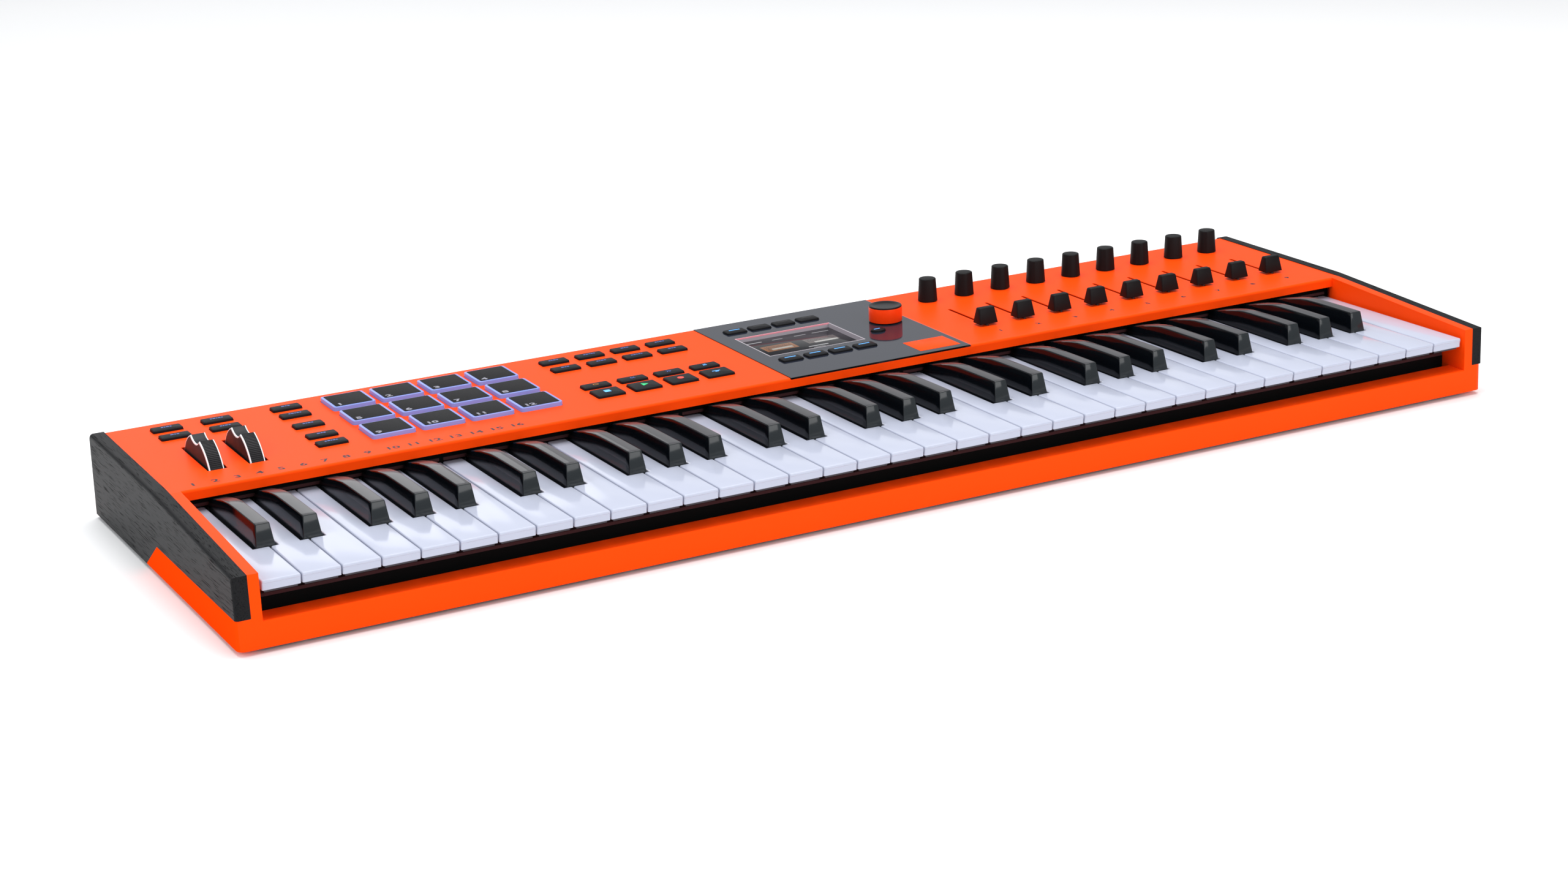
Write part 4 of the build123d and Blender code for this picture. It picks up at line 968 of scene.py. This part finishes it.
# %% [markdown]
# ## Printed numbers
#
# Sixteen plain numbers above the lowest keys and a plain number in front of each fader are
# printed on the paint. They are thin shapes a few hundredths high, in a dark red-brown.

# %% Numbers on the panel
last_knob, knob_pitch = 821.8, 30.35
knob_xs = [key_left + last_knob - knob_pitch * i for i in range(9)][::-1]
channel_first, channel_pitch = 6.2, 13.7
channel_xs = [key_left + channel_first + channel_pitch * i for i in range(16)]


def number_row(name, xs, row, height):
    """Printed numbers from one upwards, joined into one piece."""
    marks = [number_shape(str(i + 1), x, row, height, 0, dark_print) for i, x in enumerate(xs)]
    printed = join(marks[0], marks[1:])
    printed.name = name
    lay_on_panel(printed)
    hand_over(printed, "case")


number_row("channel_numbers", channel_xs, 6.9, 5.0)
number_row("fader_numbers", [x - 1.4 for x in knob_xs], 18.0, 3.6)
print("printed numbers", 25)

# %% [markdown]
# ## Knobs
#
# A knob is a slim cone with one flat facet that shows where it points. A cone is cut by a
# plane that leans with its side, the cut is filled, and the top edge is rounded. The nine
# knobs point in different directions, as a player leaves them.

# %% Soft-touch black and the nine knobs
soft_touch = Finish("knob_black", (0.004, 0.0036, 0.004), 0.5, Specular_IOR_Level=0.14)
touch = soft_touch.noise(1300, 3.0)
soft_touch.set("Roughness", 0.4 + 0.14 * touch)
soft_touch.bump(touch, 0.12, 0.02)
knob_row = 116.8
knob_foot = 0.6
knob_height = 16.1
knob_radius, knob_top = 6.95, 6.0
knob_turns = (252, 285, 300, 262, 205, 275, 290, 250, 268)
knob_lean = 0.055
facet_reach = 5.3


def knob_shape(name, turn):
    """A knob about the origin, with its facet facing the angle turn, in degrees."""
    middle_z = knob_foot + knob_height / 2
    body = drum(name, (0, 0, middle_z), knob_radius, knob_height, 64, top=knob_top)
    face_turn = math.radians(turn)
    outwards = (math.cos(face_turn), math.sin(face_turn), knob_lean)
    crown = knob_foot + knob_height
    cut(body, (facet_reach * outwards[0], facet_reach * outwards[1], crown), outwards, remove_outer=True)
    round_edges(body, lambda m, d: m.z > crown - 0.01, 0.75, 4)
    skirt = drum(name + "_skirt", (0, 0, 0.35), 6.2, 0.7, 48)
    shaft = drum(name + "_shaft", (0, 0, -3.0), 3.0, 7.0, 32)
    return join(paint(body, soft_touch), [paint(skirt, soft_touch), paint(shaft, bright_steel)])


for number, (x, turn) in enumerate(zip(knob_xs, knob_turns), 1):
    model = knob_shape("knob_model", turn)
    knob = copy_to(model, "rotary_knob_" + str(number), x, knob_row)
    bpy.data.objects.remove(model)
    lay_on_panel(knob)
    hand_over(knob, "knob_" + str(number), ["knob_" + str(number)])
print("knobs", len(knob_xs))

# %% [markdown]
# ## Faders
#
# A fader cap is a block whose front and back slope in towards a narrow top, on a thin blade
# that passes through the slot. The box's top is scaled down and all its edges are rounded.

# %% The nine faders
fader_row = 39.0
fader_low, fader_high = 1.5, 12.5
fader_width, fader_length = 14.6, 10.0
crown_width, crown_length = 12.0, 5.0
low = (-fader_width / 2, -fader_length / 2, fader_low)
cap_model = block("fader_model", low, (fader_width / 2, fader_length / 2, fader_high))
choose(cap_model, "FACE", lambda m, n: n.z > 0.9)
narrow = (crown_width / fader_width, crown_length / fader_length, 1)
bpy.ops.transform.resize(value=narrow, center_override=point(0, 0, fader_high))
leave_edit()
round_edges(cap_model, lambda m, d: m.z > fader_low + 0.1, 0.9, 4)
round_edges(cap_model, lambda m, d: m.z < fader_low + 0.01, 0.3, 2)
blade = block("fader_blade", (-0.7, -2.5, -7.0), (0.7, 2.5, fader_low + 0.2))
cap_model = join(paint(cap_model, soft_touch), [paint(blade, sensor)])
for number, x in enumerate(knob_xs, 1):
    fader = copy_to(cap_model, "fader_cap_" + str(number), x, fader_row)
    lay_on_panel(fader)
    hand_over(fader, "fader_" + str(number), ["fader_" + str(number)])
bpy.data.objects.remove(cap_model)
print("faders", len(knob_xs))

# %% [markdown]
# ## Large knob
#
# An orange ring under a black, slightly dished cap that is turned on a lathe, so it shows a
# fine circular sheen. The ring is a cylinder; the cap is another with its top inset and sunk.
# A smaller black foot leaves a shadow gap above the plate.

# %% Large knob finishes and shape
ring_sheen = {"Specular_IOR_Level": 0.25, "Specular_Tint": (1, 0.55, 0.3, 1)}
ring_orange = Finish("orange_knob", (1.0, 0.05, 0.004), 0.34, **ring_sheen)
ring_drift = ring_orange.noise(200, 2.0)
ring_orange.set("Roughness", 0.3 + 0.08 * ring_drift)
ring_orange.set("Base Color", mix(ring_drift, (0.96, 0.044, 0.0035, 1), (1.0, 0.052, 0.0045, 1)))
dial_x, dial_row = 103.5, 85.8
dial_radius, foot_radius = 11.6, 9.6
ring_low, ring_high = 1.2, 11.1
cap_low, cap_high = 11.0, 12.0
groove_rate = 9.0
lathe_black = Finish("lathe_black", (0.004, 0.004, 0.005), 0.3, Specular_IOR_Level=0.12)
dial_y = panel_front[1] + dial_row * math.cos(panel_slope)
away_x = lathe_black.x - dial_x
away_y = lathe_black.y - dial_y
distance = away_x.math("SQRT", away_x * away_x + away_y * away_y)
ripple = distance.math("SINE", distance * groove_rate)
lathe_black.set("Roughness", 0.27 + 0.05 * ripple)
lathe_black.bump(ripple, 0.25, 0.02)
ring = drum("dial_ring", (0, 0, (ring_low + ring_high) / 2), dial_radius, ring_high - ring_low, 96)
round_edges(ring, lambda m, d: m.z > ring_high - 0.1 or m.z < ring_low + 0.1, 0.25, 2)
cap = drum("dial_cap", (0, 0, (cap_low + cap_high) / 2), dial_radius - 0.15, cap_high - cap_low, 96)
round_edges(cap, lambda m, d: m.z > cap_high - 0.1, 0.45, 3)
choose(cap, "FACE", lambda m, n: n.z > 0.99)
bpy.ops.mesh.inset(thickness=1.3 * MM, depth=0)
bpy.ops.mesh.inset(thickness=1.6 * MM, depth=-0.45 * MM)
bpy.ops.mesh.inset(thickness=3.0 * MM, depth=-0.3 * MM)
leave_edit()
foot = drum("dial_foot", (0, 0, ring_low - 0.1), foot_radius, 0.3, 64)
dial_model = join(paint(ring, ring_orange), [paint(cap, lathe_black), paint(foot, sensor)])
dial = copy_to(dial_model, "large_knob", dial_x, dial_row)
bpy.data.objects.remove(dial_model)
lay_on_panel(dial)
hand_over(dial, "encoder_knob", ["encoder_knob"])
print("large knob", 2 * dial_radius, "mm across")

# %% [markdown]
# ## Wheels
#
# The two wheels are thick rubber discs with a concave finger notch, ribbed along the rest of
# their rim, and edged in white on both sides. A disc is made with one side face per half rib;
# the notch is carved, the whole outline's edges are bevelled into the white lines, and every
# second side face is then inset and sunk to make the grooves.

# %% Wheel finishes
wheel_black = Finish("wheel_rubber", (0.008, 0.008, 0.01), 0.5, Specular_IOR_Level=0.3)
wheel_skin = wheel_black.noise(1500, 2.0)
wheel_black.set("Roughness", 0.45 + 0.12 * wheel_skin)
wheel_white = plain("wheel_white", (0.78, 0.78, 0.8), 0.35, 0.04, 600)

# %% One wheel
wheel_radius = 29.0
wheel_width = 9.6
rib_count = 150
wheel_row = 57.2
axle_depth = 14.5
axle_bore = 3.05
notch_radius = 13.6
notch_height = 38.0
wheel_y = panel_front[1] + wheel_row * math.cos(panel_slope)
wheel_z = panel_front[2] + wheel_row * math.sin(panel_slope) - axle_depth
wheel_xs = (-392.9, -367.1)


def wheel_shape(name):
    """A wheel about the X axis, with its axle at the origin."""
    lying = (0, math.pi / 2, 0)
    wheel = drum(name, (0, 0, 0), wheel_radius, wheel_width, 2 * rib_count, turn=lying)
    carve(wheel, drum("notch_tool", (0, 0, notch_height), notch_radius, 20, 64, turn=lying))
    carve(wheel, drum("bore_tool", (0, 0, 0), axle_bore, 20, 48, turn=lying))
    clean(wheel)
    paint(wheel, wheel_black)
    wheel.data.materials.append(wheel_white.material)
    half = wheel_width / 2

    def outline(m, d):
        return abs(abs(m.x) - half) < 0.01 and math.hypot(m.y, m.z) > 20

    choose(wheel, "EDGE", outline)
    bpy.ops.mesh.bevel(offset=0.85 * MM, segments=2, profile=0.6, affect="EDGES", material=1)
    leave_edit()
    pitch = math.pi / rib_count

    def groove(m, n):
        outward = math.hypot(m.y, m.z)
        index = int((math.atan2(m.z, m.y) + 2 * math.pi) / pitch)
        flat = abs(n.x) < 0.02 and outward > wheel_radius - 0.05 and abs(m.x) < 1
        return flat and index % 2 == 0

    choose(wheel, "FACE", groove)
    bpy.ops.mesh.inset(thickness=0.12 * MM, depth=-0.35 * MM, use_individual=True)
    leave_edit()
    return wheel


model = wheel_shape("wheel_model")
for x, node_name in zip(wheel_xs, ("pitch_wheel", "mod_wheel")):
    wheel = copy_to(model, "ribbed_" + node_name, x, wheel_y, wheel_z)
    hand_over(wheel, node_name, [node_name])
print("wheel faces", len(model.data.polygons))
bpy.data.objects.remove(model)

# %% [markdown]
# ## Centre plate
#
# The plate round the screen is slate-grey gloss plastic, polished enough to mirror the large
# knob. It keeps its measured shape. Its left and front edges are painted with a thin dark line,
# painted shade for the gap where the plate meets the case, and its right edge with an orange one,
# so the finish reads its own coordinates for those.

# %% Slate gloss
plate_left, plate_right, plate_front = -17.0, 120.5, -4.7
slate = Finish("slate_gloss", (0.014, 0.017, 0.027), 0.06, Specular_IOR_Level=0.17)
slate_cloud = slate.noise(30, 2.0)
# Painted shade: a thin dark line along the left and front edges, for the gap to the case.
painted_gap_shade = slate.x.math("MAXIMUM", slate.x < plate_left + 0.7, slate.y < plate_front)
orange_line = slate.x > plate_right - 0.6
body_grey = mix(slate_cloud, (0.014, 0.017, 0.027, 1), (0.016, 0.019, 0.03, 1))
with_painted_gap_shade = mix(painted_gap_shade, body_grey, (0.004, 0.004, 0.005, 1))
slate.set("Base Color", mix(orange_line, with_painted_gap_shade, (0.8, 0.06, 0.012, 1)))
slate.set("Roughness", 0.04 + 0.04 * slate_cloud)
paint_node("centre_panel", slate)

# %% [markdown]
# ## Badge tile
#
# A plain orange tile sits at the plate's front right corner. It is left bare.

# %% Badge tile
tile_low, tile_high = (84.5, 5.9, 0.2), (115.5, 29.7, 0.5)
tile = block("badge_tile", tile_low, tile_high)
round_edges(tile, lambda m, d: m.z > 0.4, 0.12, 2)
paint(tile, orange)
lay_on_panel(tile)
hand_over(tile, "case")

# %% [markdown]
# ## Screen
#
# The screen lies 2.7 mm below the plate, in a well with pale translucent walls. The frame
# is a box whose top is inset and pushed through, and the picture is a formula on the glass:
# two small drawings of instruments, a few short bars and plain line signs.

# %% Screen well
screen_x, screen_row = 32.2, 79.1
screen_width, screen_length = 73.6, 51.8
screen_depth = 2.7
well_rise = 0.4
well = Finish("screen_well", (0.42, 0.38, 0.42), 0.35)
well_glow = (well.y > panel_front[1] + screen_row + screen_length / 2 - 0.9) * (well.z > 56.05)
well.set("Base Color", mix(well_glow, (0.42, 0.38, 0.42, 1), (0.85, 0.3, 0.36, 1)))


def screen_block(name, inset, low_z, high_z):
    """A box over the screen's outline, set in from it on all four sides."""
    half_width, half_length = screen_width / 2 - inset, screen_length / 2 - inset
    low = (screen_x - half_width, screen_row - half_length, low_z)
    return block(name, low, (screen_x + half_width, screen_row + half_length, high_z))


well_box = screen_block("screen_frame", 0, -screen_depth, well_rise)
choose(well_box, "FACE", lambda m, n: abs(n.z) > 0.9)
bpy.ops.mesh.inset(thickness=0.7 * MM, depth=0)
leave_edit()


def is_lid(m, n):
    """True for the top and bottom faces inside the wall's outline."""
    near_x = abs(m.x - screen_x) < screen_width / 2 - 1
    return abs(n.z) > 0.9 and near_x and abs(m.y - screen_row) < screen_length / 2 - 1


choose(well_box, "FACE", is_lid)
bpy.ops.mesh.bridge_edge_loops()
leave_edit()
paint(well_box, well)
lay_on_panel(well_box)
hand_over(well_box, "case")
print("well faces", len(well_box.data.polygons))

# %% Screen picture
glass = Finish("screen_glass", (0.003, 0.003, 0.004), 0.1, Emission_Strength=1.0, Specular_IOR_Level=0.08)
left_x = screen_x - screen_width / 2
front_y = panel_front[1] + screen_row - screen_length / 2
u = glass.x - left_x
v = glass.y - front_y
fleck = glass.noise(1100, 2.0)
picture = mix(u > -1, (0.004, 0.004, 0.005, 1), (0.008, 0.008, 0.01, 1))
picture = mix(inside(u, v, 9, 19.5, 24, 13), picture, (0.28, 0.12, 0.05, 1))
picture = mix(inside(u, v, 11, 21, 20, 10) * (fleck > 0.5), picture, (0.1, 0.05, 0.03, 1))
picture = mix(inside(u, v, 14, 22, 16, 3.4), picture, (0.5, 0.47, 0.42, 1))
picture = mix(inside(u, v, 42, 22, 24, 11), picture, (0.12, 0.1, 0.095, 1))
picture = mix(inside(u, v, 43.5, 26, 21, 6) * (fleck > 0.52), picture, (0.05, 0.045, 0.045, 1))
picture = mix(inside(u, v, 47, 22, 18, 3), picture, (0.55, 0.54, 0.52, 1))
stripe = u.math("FRACT", u * 1.05) > 0.82
keyboards = inside(u, v, 14, 22, 16, 3.4) + inside(u, v, 47, 22, 18, 3)
picture = mix(stripe * keyboards, picture, (0.03, 0.03, 0.03, 1))
bars = [(5, 44, 12, 1.2), (25, 44, 8, 0.8), (42, 44, 9, 0.8), (56, 44, 13, 0.8)]
bars += [(38, 14.5, 15, 1.6), (40, 11.6, 9, 0.7)]
for left, front, width, length in bars:
    picture = mix(inside(u, v, left, front, width, length), picture, (0.45, 0.45, 0.47, 1))
for ring_u, ring_v in ((12, 6.0), (33, 6.4)):
    far = (u - ring_u) * (u - ring_u) + (v - ring_v) * (v - ring_v)
    picture = mix((far > 0.7) * (far < 2.2), picture, (0.6, 0.6, 0.62, 1))
for arrow_u, way in ((51, -1.0), (66, 1.0)):
    across = abs(u - arrow_u)
    lift = (v - 6.4) - across * way
    picture = mix((across < 1.7) * (abs(lift) < 0.4), picture, (0.6, 0.6, 0.62, 1))
glass.set("Emission Color", picture)
display = screen_block("screen_display", 0.3, -7.3, -screen_depth)
round_edges(display, lambda m, d: m.z > -screen_depth - 0.1, 0.15, 2)
paint(display, glass)
lay_on_panel(display)
hand_over(display, "case", ["display_module"])
print("screen", screen_width, "by", screen_length, "mm")
